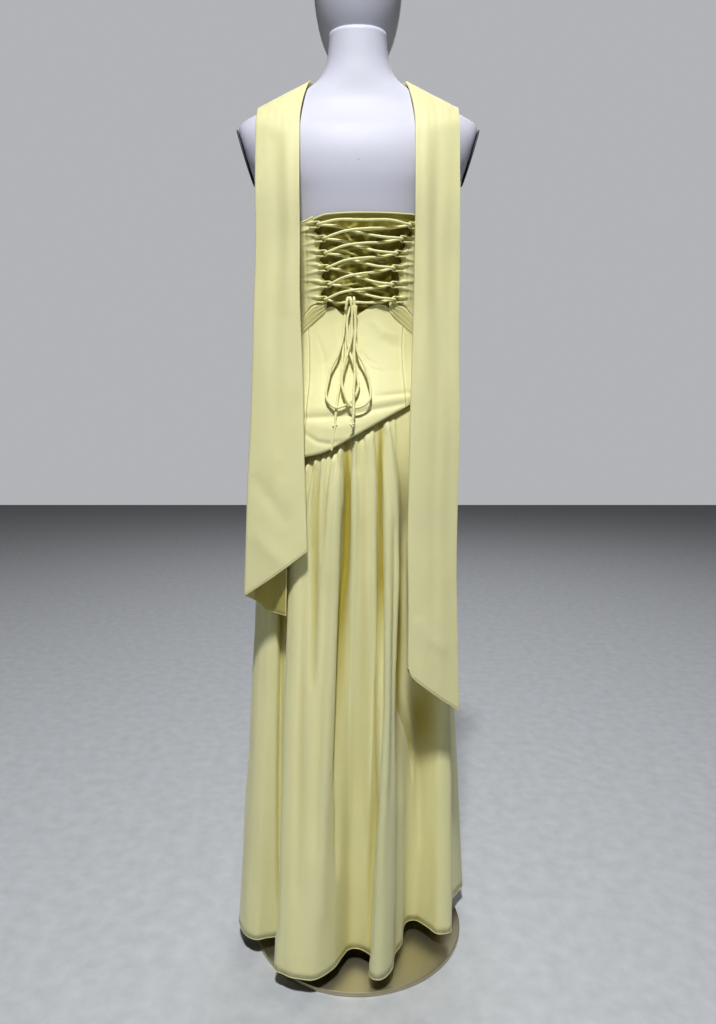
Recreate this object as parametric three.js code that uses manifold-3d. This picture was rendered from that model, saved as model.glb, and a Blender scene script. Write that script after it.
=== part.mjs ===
// Strapless maxi dress with a laced back, a hip yoke, a gathered skirt and a long scarf,
// on a limbless dress form with an egg-shaped head, a pole and a round base plate.
// Millimetres, +Z up. The origin is the middle of the base plate's underside.
// The laced back of the dress faces -Y, and +X is the wearer's right.

import * as THREE from 'three';
import { mergeVertices } from 'three/addons/utils/BufferGeometryUtils.js';
import Module from 'manifold-3d';

const DEG = Math.PI / 180;
const SEAM_GAP = 0.3;            // between pieces that meet
const BAND_GAP = 3.4;            // over and under the folded bands at the waist

// ---- Dress form -------------------------------------------------------------------------

const BASE_DIAMETER = 386;
const BASE_THICKNESS = 8;
const POLE_DIAMETER = 24;
const FORM_BOTTOM = 780;
const NECK_TOP = 1576;
const SECTION_POWER = 2.3;       // superellipse power of each level cut through the form

// A row for each level: half the width, the depth to the front and the depth to the back.
const FORM_LEVELS = [
  { height: 780, half: 135, front: 80, back: 100 },
  { height: 860, half: 160, front: 95, back: 116 },
  { height: 920, half: 165, front: 100, back: 116 },
  { height: 980, half: 156, front: 98, back: 106 },
  { height: 1040, half: 135, front: 92, back: 88 },
  { height: 1100, half: 116, front: 85, back: 74 },
  { height: 1140, half: 112, front: 82, back: 70 },
  { height: 1200, half: 121, front: 88, back: 77 },
  { height: 1260, half: 134, front: 96, back: 86 },
  { height: 1310, half: 147, front: 98, back: 93 },
  { height: 1345, half: 172, front: 95, back: 96 },
  { height: 1380, half: 192, front: 90, back: 93 },
  { height: 1415, half: 203, front: 80, back: 82 },
  { height: 1438, half: 193, front: 68, back: 68 },
  { height: 1460, half: 150, front: 56, back: 58 },
  { height: 1476, half: 117, front: 54, back: 54 },
  { height: 1490, half: 86, front: 54, back: 52 },
  { height: 1506, half: 65, front: 54, back: 50 },
  { height: 1530, half: 53, front: 55, back: 47 },
  { height: 1560, half: 48, front: 56, back: 45 },
  { height: 1580, half: 47, front: 56, back: 44 },
];
const CUP = { rise: 24, side: 38, height: 1232, spread: 24, tall: 46 };
const SOCKET = { reach: 191, level: 1410, lean: 0.3, middle: 1388, tall: 46, deep: 36, plate: 2.5 };
const HEAD = { forward: 20, lean: 14, middle: 1700, half: 74, deep: 92, up: 106, down: 168, full: 2.5 };

// ---- Dress ------------------------------------------------------------------------------

const CLOTH = 1.6;               // wall of the sewn panels
const SATIN = 1.4;               // wall of the scarf
const SIDE_SEAM = 92;            // degrees from the middle of the back

// Layers, as the distance of the middle of each wall from the form.
const MODESTY_OUT = 2;
const CORSET_OUT = 4.6;
const YOKE_OUT = 4.6;
const YOKE_EDGE_OUT = 12;
const SKIRT_OUT = 5.4;

// The top edge of the corset; beside the lacing it rises by its tip, from a distance across.
const CORSET_TOP = { back: 1277, side: 1264, front: 1296, cup: 14, cupWidth: 20, tip: 7, from: 92, run: 34 };
const MODESTY = { left: -66, right: 84, bottom: 1126, top: 1281, bow: 3, wall: 1.2 };
const WAIST = {
  back: 1142, bend: 52, side: 1070, front: 1046, sweep: 0.4, band: 13, grow: 26, start: 4, puff: 0.8,
};

// Rows of lacing loops from the top: their height and how far the left and right tips reach.
const LACING = [
  { height: 1264, left: -58, right: 78 },
  { height: 1243, left: -49, right: 65 },
  { height: 1221, left: -47.5, right: 57 },
  { height: 1199, left: -44.5, right: 52.5 },
  { height: 1174, left: -41.5, right: 51 },
  { height: 1151, left: -48, right: 54 },
];
const LOOP = { bend: 4.5, radius: 1.3, out: 9.4, root: 7, leg: 21 };
const LACE = { radius: 2.1, over: 14, under: 5.3, high: 12.4, low: 7, bow: 3.5 };
const PANEL_SCALLOP = { near: 7, far: 14, reach: 11 };  // panel edge behind the loop tips

// Yoke: its lower edge is one slanted level cut that eases off past a bend at the wearer's
// left, its back panel lies between two seams.
const SLANT = { middle: 937, rise: 0.57, bend: -45, ease: 0.044 };
const YOKE_SEAM_TOP = 1095;
const YOKE_SEAM = { left: -81, right: 74 };
const YOKE_TOP = [
  { across: -100, height: 1084 },
  { across: -82, height: 1099 },
  { across: -62, height: 1122 },
  { across: -48, height: 1137 },
  { across: -38, height: 1138 },
  { across: -26, height: 1126 },
  { across: -6, height: 1122 },
  { across: 8, height: 1131 },
  { across: 28, height: 1142 },
  { across: 44, height: 1140 },
  { across: 60, height: 1121 },
  { across: 78, height: 1099 },
  { across: 100, height: 1084 },
];
const YOKE_DIP = { from: 84, run: 22 };          // where the dip ends and the waist seam goes on

// Skirt: hem folds in order round the body. Each row is one crest or hollow: the direction
// it leaves the seam in, then direction and reach at hip height and at the hem.
const HEM_HEIGHT = 35;
const HIP_HEIGHT = 700;
const SKIRT_TUCK = 7;            // how far the skirt goes up under the yoke
const GATHERS = 36;              // small gathers at the seam in each half
const FOLDS = [
  { seam: -84, hip: -84, wide: 176, hem: -82, reach: 222 },
  { seam: -75, hip: -74, wide: 176, hem: -70, reach: 223 },
  { seam: -67, hip: -66, wide: 166, hem: -62, reach: 208 },
  { seam: -61, hip: -60, wide: 151, hem: -60, reach: 184 },
  { seam: -56, hip: -56, wide: 133, hem: -54, reach: 152 },
  { seam: -51, hip: -51, wide: 139, hem: -46, reach: 168 },
  { seam: -46, hip: -47, wide: 157, hem: -41, reach: 217 },
  { seam: -38, hip: -38, wide: 159, hem: -34, reach: 222 },
  { seam: -29, hip: -28, wide: 150, hem: -27, reach: 217 },
  { seam: -20, hip: -20, wide: 150, hem: -20, reach: 206 },
  { seam: -13, hip: -13, wide: 141, hem: -13.5, reach: 173 },
  { seam: -9, hip: -9, wide: 131, hem: -11, reach: 145 },
  { seam: -4, hip: -5, wide: 129, hem: -8, reach: 126 },
  { seam: 3, hip: 3, wide: 134, hem: -1, reach: 122 },
  { seam: 9, hip: 10, wide: 134, hem: 6, reach: 131 },
  { seam: 13, hip: 14, wide: 128, hem: 9, reach: 147 },
  { seam: 16, hip: 17, wide: 138, hem: 6, reach: 186 },
  { seam: 21, hip: 22, wide: 147, hem: 11, reach: 199 },
  { seam: 26, hip: 28, wide: 143, hem: 18.5, reach: 182 },
  { seam: 31, hip: 33, wide: 128, hem: 25, reach: 150 },
  { seam: 37, hip: 39, wide: 119, hem: 36, reach: 133 },
  { seam: 45, hip: 47, wide: 118, hem: 52, reach: 106 },
  { seam: 52, hip: 54, wide: 124, hem: 62, reach: 104 },
  { seam: 59, hip: 60, wide: 136, hem: 67, reach: 118 },
  { seam: 65, hip: 65, wide: 146, hem: 63, reach: 143 },
  { seam: 70, hip: 69, wide: 158, hem: 60, reach: 166 },
  { seam: 75, hip: 74, wide: 165, hem: 65, reach: 185 },
  { seam: 81, hip: 80, wide: 163, hem: 71, reach: 179 },
  { seam: 87, hip: 87, wide: 154, hem: 80, reach: 158 },
  { seam: 94, hip: 94, wide: 163, hem: 92, reach: 174 },
  { seam: 101, hip: 101, wide: 172, hem: 101, reach: 200 },
  { seam: 107, hip: 107, wide: 168, hem: 107, reach: 214 },
  { seam: 114, hip: 114, wide: 150, hem: 114, reach: 164 },
  { seam: 123, hip: 123, wide: 160, hem: 122, reach: 210 },
  { seam: 132, hip: 131, wide: 156, hem: 130, reach: 208 },
  { seam: 141, hip: 140, wide: 136, hem: 139, reach: 150 },
  { seam: 150, hip: 149, wide: 148, hem: 149, reach: 203 },
  { seam: 158, hip: 158, wide: 146, hem: 157, reach: 211 },
  { seam: 167, hip: 167, wide: 130, hem: 165, reach: 144 },
  { seam: 175, hip: 175, wide: 134, hem: 176, reach: 150 },
  { seam: 184, hip: 184, wide: 133, hem: 184, reach: 144 },
  { seam: 193, hip: 193, wide: 145, hem: 192, reach: 199 },
  { seam: 203, hip: 203, wide: 150, hem: 202, reach: 216 },
  { seam: 212, hip: 212, wide: 146, hem: 211, reach: 200 },
  { seam: 220, hip: 220, wide: 134, hem: 221, reach: 152 },
  { seam: 229, hip: 229, wide: 152, hem: 229, reach: 206 },
  { seam: 238, hip: 238, wide: 158, hem: 239, reach: 218 },
  { seam: 247, hip: 247, wide: 148, hem: 248, reach: 168 },
  { seam: 256, hip: 257, wide: 162, hem: 256, reach: 212 },
  { seam: 264, hip: 264, wide: 170, hem: 264, reach: 216 },
  { seam: 270, hip: 270, wide: 164, hem: 271, reach: 190 },
];
// Rings of the skirt: how far down they are, as a share, and how many steps each half has.
const SKIRT_RINGS = [
  { down: 0, steps: 108 },
  { down: 0.02, steps: 108 },
  { down: 0.07, steps: 108 },
  { down: 0.14, steps: 72 },
  { down: 0.23, steps: 60 },
  { down: 0.37, steps: 60 },
  { down: 0.53, steps: 60 },
  { down: 0.69, steps: 60 },
  { down: 0.85, steps: 60 },
  { down: 1, steps: 60 },
];

// Scarf: each fall hangs doubled. Rows go down the back: height, the two edges across and
// how deep the near layer lies at each edge.
const FALL_LEFT = [
  { height: 1276, inner: 91, outer: 162, innerDeep: 108, outerDeep: 84 },
  { height: 1183, inner: 91, outer: 164, innerDeep: 112, outerDeep: 90 },
  { height: 1068, inner: 90, outer: 169, innerDeep: 117, outerDeep: 98 },
  { height: 942, inner: 86, outer: 175, innerDeep: 130, outerDeep: 106 },
  { height: 850, inner: 84, outer: 179, innerDeep: 138, outerDeep: 112 },
  { height: 765, inner: 82, outer: 183, innerDeep: 146, outerDeep: 118 },
  { height: 640, inner: 81, outer: 190, innerDeep: 154, outerDeep: 124 },
];
const FALL_RIGHT = [
  { height: 1276, inner: 89, outer: 160, innerDeep: 108, outerDeep: 84 },
  { height: 1183, inner: 88, outer: 161, innerDeep: 112, outerDeep: 90 },
  { height: 1068, inner: 86, outer: 161, innerDeep: 118, outerDeep: 98 },
  { height: 942, inner: 82, outer: 162, innerDeep: 132, outerDeep: 108 },
  { height: 765, inner: 81, outer: 161, innerDeep: 138, outerDeep: 114 },
  { height: 620, inner: 81, outer: 163, innerDeep: 142, outerDeep: 118 },
  { height: 553, inner: 81, outer: 166, innerDeep: 144, outerDeep: 120 },
  { height: 460, inner: 82, outer: 171, innerDeep: 146, outerDeep: 122 },
];
const FALL_ENDS = {
  left: { hemCorner: 751, foldTip: 672, backCorner: 612 },
  right: { hemCorner: 475, foldTip: 553, backCorner: 612 },
};
const SCARF = { lift: 8.6, layerGap: 3.6, hangGap: 8, backShare: 0.66 };
const SHOULDER_EDGE = { inner: 75, outer: 161 };
const COWL = { innerDrop: 92, outerDrop: 150, clear: 12, folds: 3, fold: 5 };

// Bow of the lace: points as distance across, height and layer out from the yoke.
const KNOT = { across: -11, height: 1146, wide: 8, deep: 8, tall: 6 };
const BOW_LAYER = 4.7;
const BOW_LOOP_LEFT = [
  [-18, 1138], [-22, 1114], [-24, 1090], [-32, 1062], [-43, 1040], [-48, 1018], [-51, 1000],
  [-47, 987], [-35, 978], [-18, 983], [-6, 994], [1, 1012], [-1, 1025], [-8, 1050],
  [-15, 1072], [-17, 1096], [-17.5, 1116], [-12.5, 1138],
];
const BOW_LOOP_RIGHT = [
  [-3, 1138], [-4.5, 1114], [-4.5, 1086], [1, 1062], [9, 1047], [17, 1022], [20, 1004],
  [19, 992], [10, 982], [-3, 978], [-14, 984], [-23, 1004], [-26, 1020], [-22, 1046],
  [-15, 1070], [-10, 1092], [-10, 1116], [-8.5, 1138],
];
const TAIL_LEFT = [
  [-16, 1138], [-23, 1108], [-24, 1070], [-27, 1030], [-33, 990], [-36, 960], [-37, 945],
  [-42, 912],
];
const TAIL_RIGHT = [[-6, 1138], [-4, 1106], [-6, 1068], [-5, 1034], [-7, 998], [-7, 972], [-9, 950]];

// ---- Looks ------------------------------------------------------------------------------

const COLOUR = { satin: 0xd8d49a, shade: 0x8f8a3c, form: 0xd3d2e2, socket: 0x4a4a50, steel: 0xb9bcc0 };

const model = new THREE.Group();

function addPiece(name, geometry, colour, roughness = 0.45, metalness = 0) {
  const material = new THREE.MeshStandardMaterial({ color: colour, roughness, metalness });
  const mesh = new THREE.Mesh(geometry, material);
  mesh.name = name;
  model.add(mesh);
}

// ---- Curves through tables --------------------------------------------------------------

// Smooth value of one column of a table at a place along another column.
function along(rows, key, column, place) {
  const last = rows.length - 1;
  const at = (i) => rows[Math.min(Math.max(i, 0), last)];
  let i = 0;
  while (i < last - 1 && place > rows[i + 1][key] === rows[1][key] > rows[0][key]) i += 1;
  const here = at(i), next = at(i + 1);
  const span = next[key] - here[key];
  const t = Math.min(Math.max((place - here[key]) / span, 0), 1);
  const slope = (a, b) => (b === a ? 0 : ((b[column] - a[column]) / (b[key] - a[key])) * span);
  const m0 = slope(at(i - 1), next), m1 = slope(here, at(i + 2));
  const rise = next[column] - here[column];
  return here[column] + t * m0 + t * t * (3 * rise - 2 * m0 - m1) + t ** 3 * (m0 + m1 - 2 * rise);
}

const smooth = (t) => { const c = Math.min(Math.max(t, 0), 1); return c * c * (3 - 2 * c); };
const mix = (a, b, t) => a + (b - a) * t;

// ---- The form's surface -----------------------------------------------------------------

// Reach of the form's surface from its upright axis. The angle is in degrees from the
// middle of the back (-Y) towards +X.
function reach(angle, height) {
  const half = along(FORM_LEVELS, 'height', 'half', height);
  const back = Math.cos(angle * DEG) > 0;
  const deep = along(FORM_LEVELS, 'height', back ? 'back' : 'front', height);
  const x = Math.abs(Math.sin(angle * DEG)) / half;
  const y = Math.abs(Math.cos(angle * DEG)) / deep;
  const round = (x ** SECTION_POWER + y ** SECTION_POWER) ** (-1 / SECTION_POWER);
  const side = Math.abs(((angle % 360) + 360) % 360 - 180);
  const cup = Math.exp(-(((side - CUP.side) / CUP.spread) ** 2) - ((height - CUP.height) / CUP.tall) ** 2);
  return round + CUP.rise * cup;
}

// A point on the form, moved out level along the surface's own direction.
function onForm(angle, height, out = 0) {
  const spot = (a) => {
    const r = reach(a, height);
    return new THREE.Vector2(r * Math.sin(a * DEG), -r * Math.cos(a * DEG));
  };
  const here = spot(angle);
  const tangent = spot(angle + 1).sub(spot(angle - 1)).normalize();
  return new THREE.Vector3(here.x + out * tangent.y, here.y - out * tangent.x, height);
}

// The angle at which the back of the form lies a given distance across.
function backAngle(across, height) {
  const half = along(FORM_LEVELS, 'height', 'half', height);
  const deep = along(FORM_LEVELS, 'height', 'back', height);
  const share = Math.min(Math.abs(across) / half, 0.999);
  return Math.atan2(across, deep * (1 - share ** SECTION_POWER) ** (1 / SECTION_POWER)) / DEG;
}

// A point off the back of the form at a distance across, moved out by a layer's distance.
function onBack(across, height, out) {
  let foot = across;
  for (let pass = 0; pass < 4; pass += 1) foot += across - onForm(backAngle(foot, height), height, out).x;
  return onForm(backAngle(foot, height), height, out);
}

// ---- Solids from rows of points ---------------------------------------------------------

// Stitches rows of points, which may differ in number, into one sheet of triangles.
function stitch(rows, closed = false) {
  const start = [];
  let count = 0;
  for (const row of rows) { start.push(count); count += row.length; }
  const triangles = [];
  for (let r = 0; r + 1 < rows.length; r += 1) {
    const n = rows[r].length - (closed ? 0 : 1);
    const m = rows[r + 1].length - (closed ? 0 : 1);
    const a = (i) => start[r] + (i % rows[r].length);
    const b = (j) => start[r + 1] + (j % rows[r + 1].length);
    for (let i = 0, j = 0; i < n || j < m;) {
      if (j === m || (i < n && (i + 1) / n <= (j + 1) / m)) {
        triangles.push([a(i), a(i + 1), b(j)]);
        i += 1;
      } else {
        triangles.push([a(i), b(j + 1), b(j)]);
        j += 1;
      }
    }
  }
  return { points: rows.flat(), triangles };
}

function solid(points, triangles) {
  const volume = triangles.reduce((sum, [a, b, c]) =>
    sum + points[a].dot(new THREE.Vector3().crossVectors(points[b], points[c])), 0);
  const faces = volume < 0 ? triangles.map(([a, b, c]) => [a, c, b]) : triangles;
  const geometry = new THREE.BufferGeometry();
  const numbers = new Float32Array(points.flatMap((p) => [p.x, p.y, p.z]));
  geometry.setAttribute('position', new THREE.BufferAttribute(numbers, 3));
  geometry.setIndex(faces.flat());
  geometry.computeVertexNormals();
  return geometry;
}

function sheetNormals({ points, triangles }) {
  const normals = points.map(() => new THREE.Vector3());
  for (const [a, b, c] of triangles) {
    const normal = points[b].clone().sub(points[a]).cross(points[c].clone().sub(points[a]));
    for (const i of [a, b, c]) normals[i].add(normal);
  }
  return normals.map((normal) => normal.normalize());
}

// Gives a sheet a wall: both faces lie half the wall off it, and a rim joins them.
function wall({ points, triangles }, thickness, normals = sheetNormals({ points, triangles })) {
  const sides = new Map();
  for (const [a, b, c] of triangles) {
    for (const [i, j] of [[a, b], [b, c], [c, a]]) {
      if (!sides.delete(`${j},${i}`)) sides.set(`${i},${j}`, [i, j]);
    }
  }
  const count = points.length;
  const moved = (side) => points.map((p, i) => p.clone().addScaledVector(normals[i], (side * thickness) / 2));
  const faces = triangles.flatMap(([a, b, c]) => [[a, b, c], [a + count, c + count, b + count]]);
  for (const [i, j] of sides.values()) faces.push([i, i + count, j], [j, i + count, j + count]);
  return solid([...moved(1), ...moved(-1)], faces);
}

// A grid of points made by a function of two shares, across and down.
function grid(across, down, place) {
  return Array.from({ length: down + 1 }, (_, r) =>
    Array.from({ length: across + 1 }, (_, c) => place(c / across, r / down)));
}

// A closed loft through level rings, capped flat at both ends.
function loft(rings) {
  const sheet = stitch(rings, true);
  const size = rings[0].length;
  const lastRing = sheet.points.length - size;
  const middle = (from) => sheet.points.slice(from, from + size)
    .reduce((sum, p) => sum.add(p), new THREE.Vector3()).divideScalar(size);
  const points = [...sheet.points, middle(0), middle(lastRing)];
  const triangles = [...sheet.triangles];
  for (let i = 0; i < size; i += 1) {
    const next = (i + 1) % size;
    triangles.push([next, i, points.length - 2]);
    triangles.push([lastRing + i, lastRing + next, points.length - 1]);
  }
  return solid(points, triangles);
}

// A round tube with a ring at every point of its route, for tight turns.
function bentTube(route, radius, sides) {
  const rings = [];
  let up = null;
  route.forEach((point, i) => {
    const ahead = route[Math.min(i + 1, route.length - 1)].clone();
    const run = ahead.sub(route[Math.max(i - 1, 0)]).normalize();
    if (!up) up = new THREE.Vector3(0.3, -0.5, 1).cross(run);
    up.addScaledVector(run, -up.dot(run)).normalize();
    const across = new THREE.Vector3().crossVectors(run, up);
    rings.push(Array.from({ length: sides }, (_, s) => point.clone()
      .addScaledVector(up, radius * Math.cos((2 * Math.PI * s) / sides))
      .addScaledVector(across, radius * Math.sin((2 * Math.PI * s) / sides))));
  });
  return loft(rings);
}

// A round cord along an easy curve.
function cord(route, radius) {
  const curve = new THREE.CatmullRomCurve3(route, false, 'centripetal');
  const shape = new THREE.Shape();
  shape.absarc(0, 0, radius, 0, 2 * Math.PI);
  return new THREE.ExtrudeGeometry(shape, {
    curveSegments: 4,
    steps: Math.round(curve.getLength() / (6 * radius)),
    extrudePath: curve,
  });
}

const kit = await Module();
kit.setup();
function toManifold(geometry) {
  const bare = mergeVertices(geometry.clone().deleteAttribute('normal'));
  return new kit.Manifold(new kit.Mesh({
    numProp: 3,
    vertProperties: new Float32Array(bare.attributes.position.array),
    triVerts: new Uint32Array(bare.index.array),
  }));
}
function fromManifold(body) {
  const mesh = body.getMesh();
  const geometry = new THREE.BufferGeometry();
  geometry.setAttribute('position', new THREE.BufferAttribute(mesh.vertProperties, 3));
  geometry.setIndex(new THREE.BufferAttribute(mesh.triVerts, 1));
  geometry.computeVertexNormals();
  return geometry;
}

// ---- Dress form and stand ---------------------------------------------------------------

const socketReach = (height) => SOCKET.reach + SOCKET.lean * (height - SOCKET.level);

function formRing(height, sides, out = 0) {
  return Array.from({ length: sides }, (_, i) => {
    const point = onForm((360 * i) / sides, height, out);
    const limit = socketReach(height);
    point.x = Math.min(Math.max(point.x, -limit), limit);
    return point;
  });
}

function addForm() {
  const levels = [780, 830, 880, 940, 1000, 1050, 1085, 1112, 1140, 1175, 1215, 1255, 1300, 1340,
    1375, 1405, 1426, 1442, 1456, 1470, 1486, 1504, 1530, NECK_TOP];
  addPiece('form_torso', loft(levels.map((height) => formRing(height, 28))), COLOUR.form, 0.4);

  const ball = new THREE.SphereGeometry(1, 16, 12).deleteAttribute('uv').deleteAttribute('normal');
  const egg = mergeVertices(ball.rotateX(Math.PI / 2), 1e-5);
  const spots = egg.attributes.position;
  for (let i = 0; i < spots.count; i += 1) {
    const z = spots.getZ(i);
    const low = Math.max(-z, 0);
    const plain = Math.sqrt(Math.max(1 - z * z, 1e-9));
    const full = z < 0 ? (1 - low ** HEAD.full) ** (1 / HEAD.full) / plain : 1;
    spots.setXYZ(i, spots.getX(i) * HEAD.half * full,
      HEAD.forward + HEAD.lean * low + spots.getY(i) * HEAD.deep * full,
      HEAD.middle + z * (z > 0 ? HEAD.up : HEAD.down));
  }
  egg.computeVertexNormals();
  const neck = loft([1504, 1530, NECK_TOP].map((height, i) => {
    const ring = formRing(height, 28, 3 * SEAM_GAP);
    if (i === 2) ring.forEach((point) => { point.z += 2 * SEAM_GAP; });
    return ring;
  }));
  addPiece('form_head', fromManifold(toManifold(egg).subtract(toManifold(neck))), COLOUR.form, 0.4);

  for (const [side, name] of [[-1, 'left'], [1, 'right']]) {
    const plate = new THREE.CylinderGeometry(1, 1, SOCKET.plate, 20);
    plate.scale(SOCKET.deep, 1, SOCKET.tall).rotateZ(Math.PI / 2).rotateY(side * Math.atan(SOCKET.lean));
    const out = socketReach(SOCKET.middle) + SOCKET.plate / 2 + 2 * SEAM_GAP;
    plate.translate(side * out, 0, SOCKET.middle);
    addPiece(`form_socket_${name}`, plate, COLOUR.socket, 0.6);
  }

  const rim = BASE_DIAMETER / 2;
  const profile = [[0, 0], [rim, 0], [rim, BASE_THICKNESS - 2], [rim - 2, BASE_THICKNESS],
    [0, BASE_THICKNESS]].map(([x, y]) => new THREE.Vector2(x, y));
  addPiece('stand_base', new THREE.LatheGeometry(profile, 40).rotateX(Math.PI / 2), COLOUR.steel, 0.1, 1);
  const length = FORM_BOTTOM - BASE_THICKNESS - 2 * SEAM_GAP;
  const pole = new THREE.CylinderGeometry(POLE_DIAMETER / 2, POLE_DIAMETER / 2, length, 20);
  pole.rotateX(Math.PI / 2).translate(0, 0, BASE_THICKNESS + SEAM_GAP + length / 2);
  addPiece('stand_pole', pole, COLOUR.steel, 0.2, 1);
}

// ---- Corset and yoke --------------------------------------------------------------------

// Share of the way round from the middle of the back to the middle of the front.
const roundShare = (angle) => Math.abs(((angle % 360) + 540) % 360 - 180) / 180;

// Height of the seam between corset and yoke, all round.
function waistHeight(angle) {
  const across = Math.abs(onForm(angle, WAIST.back).x);
  if (roundShare(angle) > 0.5) return mix(WAIST.side, WAIST.front, smooth(roundShare(angle) * 2 - 1));
  const side = reach(90, WAIST.side);
  const share = (across - WAIST.bend) / (side - WAIST.bend);
  return mix(WAIST.back, WAIST.side, mix(Math.max(share, 0), smooth(share), WAIST.sweep));
}

// Width of the folded band that lies along the waist seam of each back panel.
function bandWidth(angle) {
  const across = Math.abs(onForm(angle, WAIST.back).x);
  return WAIST.band * smooth((across - WAIST.bend) / WAIST.grow);
}

function corsetTop(angle) {
  const share = roundShare(angle);
  const base = share < 0.5
    ? mix(CORSET_TOP.back, CORSET_TOP.side, smooth(share * 2))
    : mix(CORSET_TOP.side, CORSET_TOP.front, smooth(share * 2 - 1));
  const cup = Math.exp(-(((share * 180 - 180 + CUP.side) / CORSET_TOP.cupWidth) ** 2));
  const across = Math.abs(onForm(angle, CORSET_TOP.back).x);
  const tip = share < 0.5 ? smooth((CORSET_TOP.from - across) / CORSET_TOP.run) : 0;
  return base + CORSET_TOP.cup * cup + CORSET_TOP.tip * tip;
}

// Edge of a back panel: it is pulled in at each loop and falls back between two loops.
function lacedEdge(side, height) {
  const key = side < 0 ? 'left' : 'right';
  const tip = along([...LACING].reverse(), 'height', key, height);
  const gap = LACING.reduce((least, row) => Math.min(least, Math.abs(row.height - height)), 99);
  const pull = smooth(gap / PANEL_SCALLOP.reach);
  return tip + side * mix(PANEL_SCALLOP.near, PANEL_SCALLOP.far, pull);
}

function addCorset() {
  const front = grid(22, 6, (s, t) => {
    const angle = mix(SIDE_SEAM + 0.1, 360 - SIDE_SEAM - 0.1, s);
    return onForm(angle, mix(corsetTop(angle), waistHeight(angle) + SEAM_GAP, t), CORSET_OUT);
  });
  addPiece('corset_front', wall(stitch(front), CLOTH), COLOUR.satin);

  for (const [side, name] of [[-1, 'left'], [1, 'right']]) {
    const back = grid(6, 18, (s, t) => {
      let height = 0;
      let angle = side * SIDE_SEAM;
      for (let pass = 0; pass < 4; pass += 1) {
        height = mix(corsetTop(angle), waistHeight(angle) + bandWidth(angle) + 2 * BAND_GAP, t);
        const edge = backAngle(lacedEdge(side, height), height);
        angle = mix(side * (SIDE_SEAM - 0.1), edge, s);
      }
      return onForm(angle, height, CORSET_OUT);
    });
    addPiece(`corset_back_${name}`, wall(stitch(back), CLOTH), COLOUR.satin);

    const band = grid(10, 2, (s, t) => {
      const first = backAngle(side * (WAIST.bend + WAIST.start), WAIST.back);
      const angle = mix(first, side * (SIDE_SEAM - 0.3), s);
      const height = mix(waistHeight(angle) + bandWidth(angle), yokeTop(angle), t) + BAND_GAP;
      return onForm(angle, height, CORSET_OUT + WAIST.puff * Math.sin(Math.PI * t));
    });
    addPiece(`waist_band_${name}`, wall(stitch(band), CLOTH), COLOUR.satin);
  }

  const modesty = grid(10, 5, (s, t) => {
    const across = mix(MODESTY.left, MODESTY.right, s);
    const top = MODESTY.top - MODESTY.bow * (2 * s - 1) ** 2;
    return onBack(across, mix(top, MODESTY.bottom, t), MODESTY_OUT);
  });
  addPiece('modesty_panel', wall(stitch(modesty), MODESTY.wall), COLOUR.shade);
}

function slantHeight(across) {
  const past = Math.max(SLANT.bend - across, 0);
  return SLANT.middle + SLANT.rise * across + SLANT.ease * past ** 1.5;
}

// Height at which the slanted lower edge of the yoke crosses a direction round the body.
function seamHeight(angle) {
  let height = SLANT.middle;
  for (let pass = 0; pass < 12; pass += 1) height = slantHeight(onForm(angle, height, 4).x);
  return height;
}

function yokeTop(angle) {
  const across = onForm(angle, WAIST.back).x;
  const seam = waistHeight(angle) - SEAM_GAP;
  if (roundShare(angle) > 0.5) return seam;
  const shaped = Math.min(along(YOKE_TOP, 'across', 'height', across), seam);
  return mix(shaped, seam, smooth((Math.abs(across) - YOKE_DIP.from) / YOKE_DIP.run));
}

function addYoke() {
  const place = (angle, t) => {
    const height = mix(yokeTop(angle), seamHeight(angle), t);
    const edge = smooth((t - 0.35) / 0.65);
    return onForm(angle, height, mix(YOKE_OUT, YOKE_EDGE_OUT, edge));
  };
  // A panel between two seams that are given as functions of the share down the panel.
  const panel = (name, from, to, across, down) => {
    const rows = grid(across, down, (s, t) => place(mix(from(t), to(t), s), t));
    addPiece(name, wall(stitch(rows), CLOTH), COLOUR.satin);
  };
  const seam = (across, nudge) => (t) => {
    const height = mix(YOKE_SEAM_TOP, slantHeight(across), t);
    return backAngle(across, height) + nudge;
  };
  const { left, right } = YOKE_SEAM;
  panel('yoke_back', seam(left, 0.1), seam(right, -0.1), 14, 8);
  panel('yoke_side_left', () => -SIDE_SEAM + 0.1, seam(left, -0.1), 8, 6);
  panel('yoke_side_right', seam(right, 0.1), () => SIDE_SEAM - 0.1, 6, 5);
  panel('yoke_front', () => SIDE_SEAM + 0.1, () => 360 - SIDE_SEAM - 0.1, 18, 6);
}

// ---- Skirt ------------------------------------------------------------------------------

const plan = (angle, radius) => ({ x: radius * Math.sin(angle * DEG), y: -radius * Math.cos(angle * DEG) });
const FOLD_PLAN = FOLDS.map((fold) => {
  const hip = plan(fold.hip, fold.wide), hem = plan(fold.hem, fold.reach);
  return { seam: fold.seam, hipX: hip.x, hipY: hip.y, hemX: hem.x, hemY: hem.y };
});
const turned = (row, turn) => ({ ...row, seam: row.seam + turn });
const FOLD_RING = [
  ...FOLD_PLAN.slice(-3).map((row) => turned(row, -360)),
  ...FOLD_PLAN,
  ...FOLD_PLAN.slice(0, 3).map((row) => turned(row, 360)),
];

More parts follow.
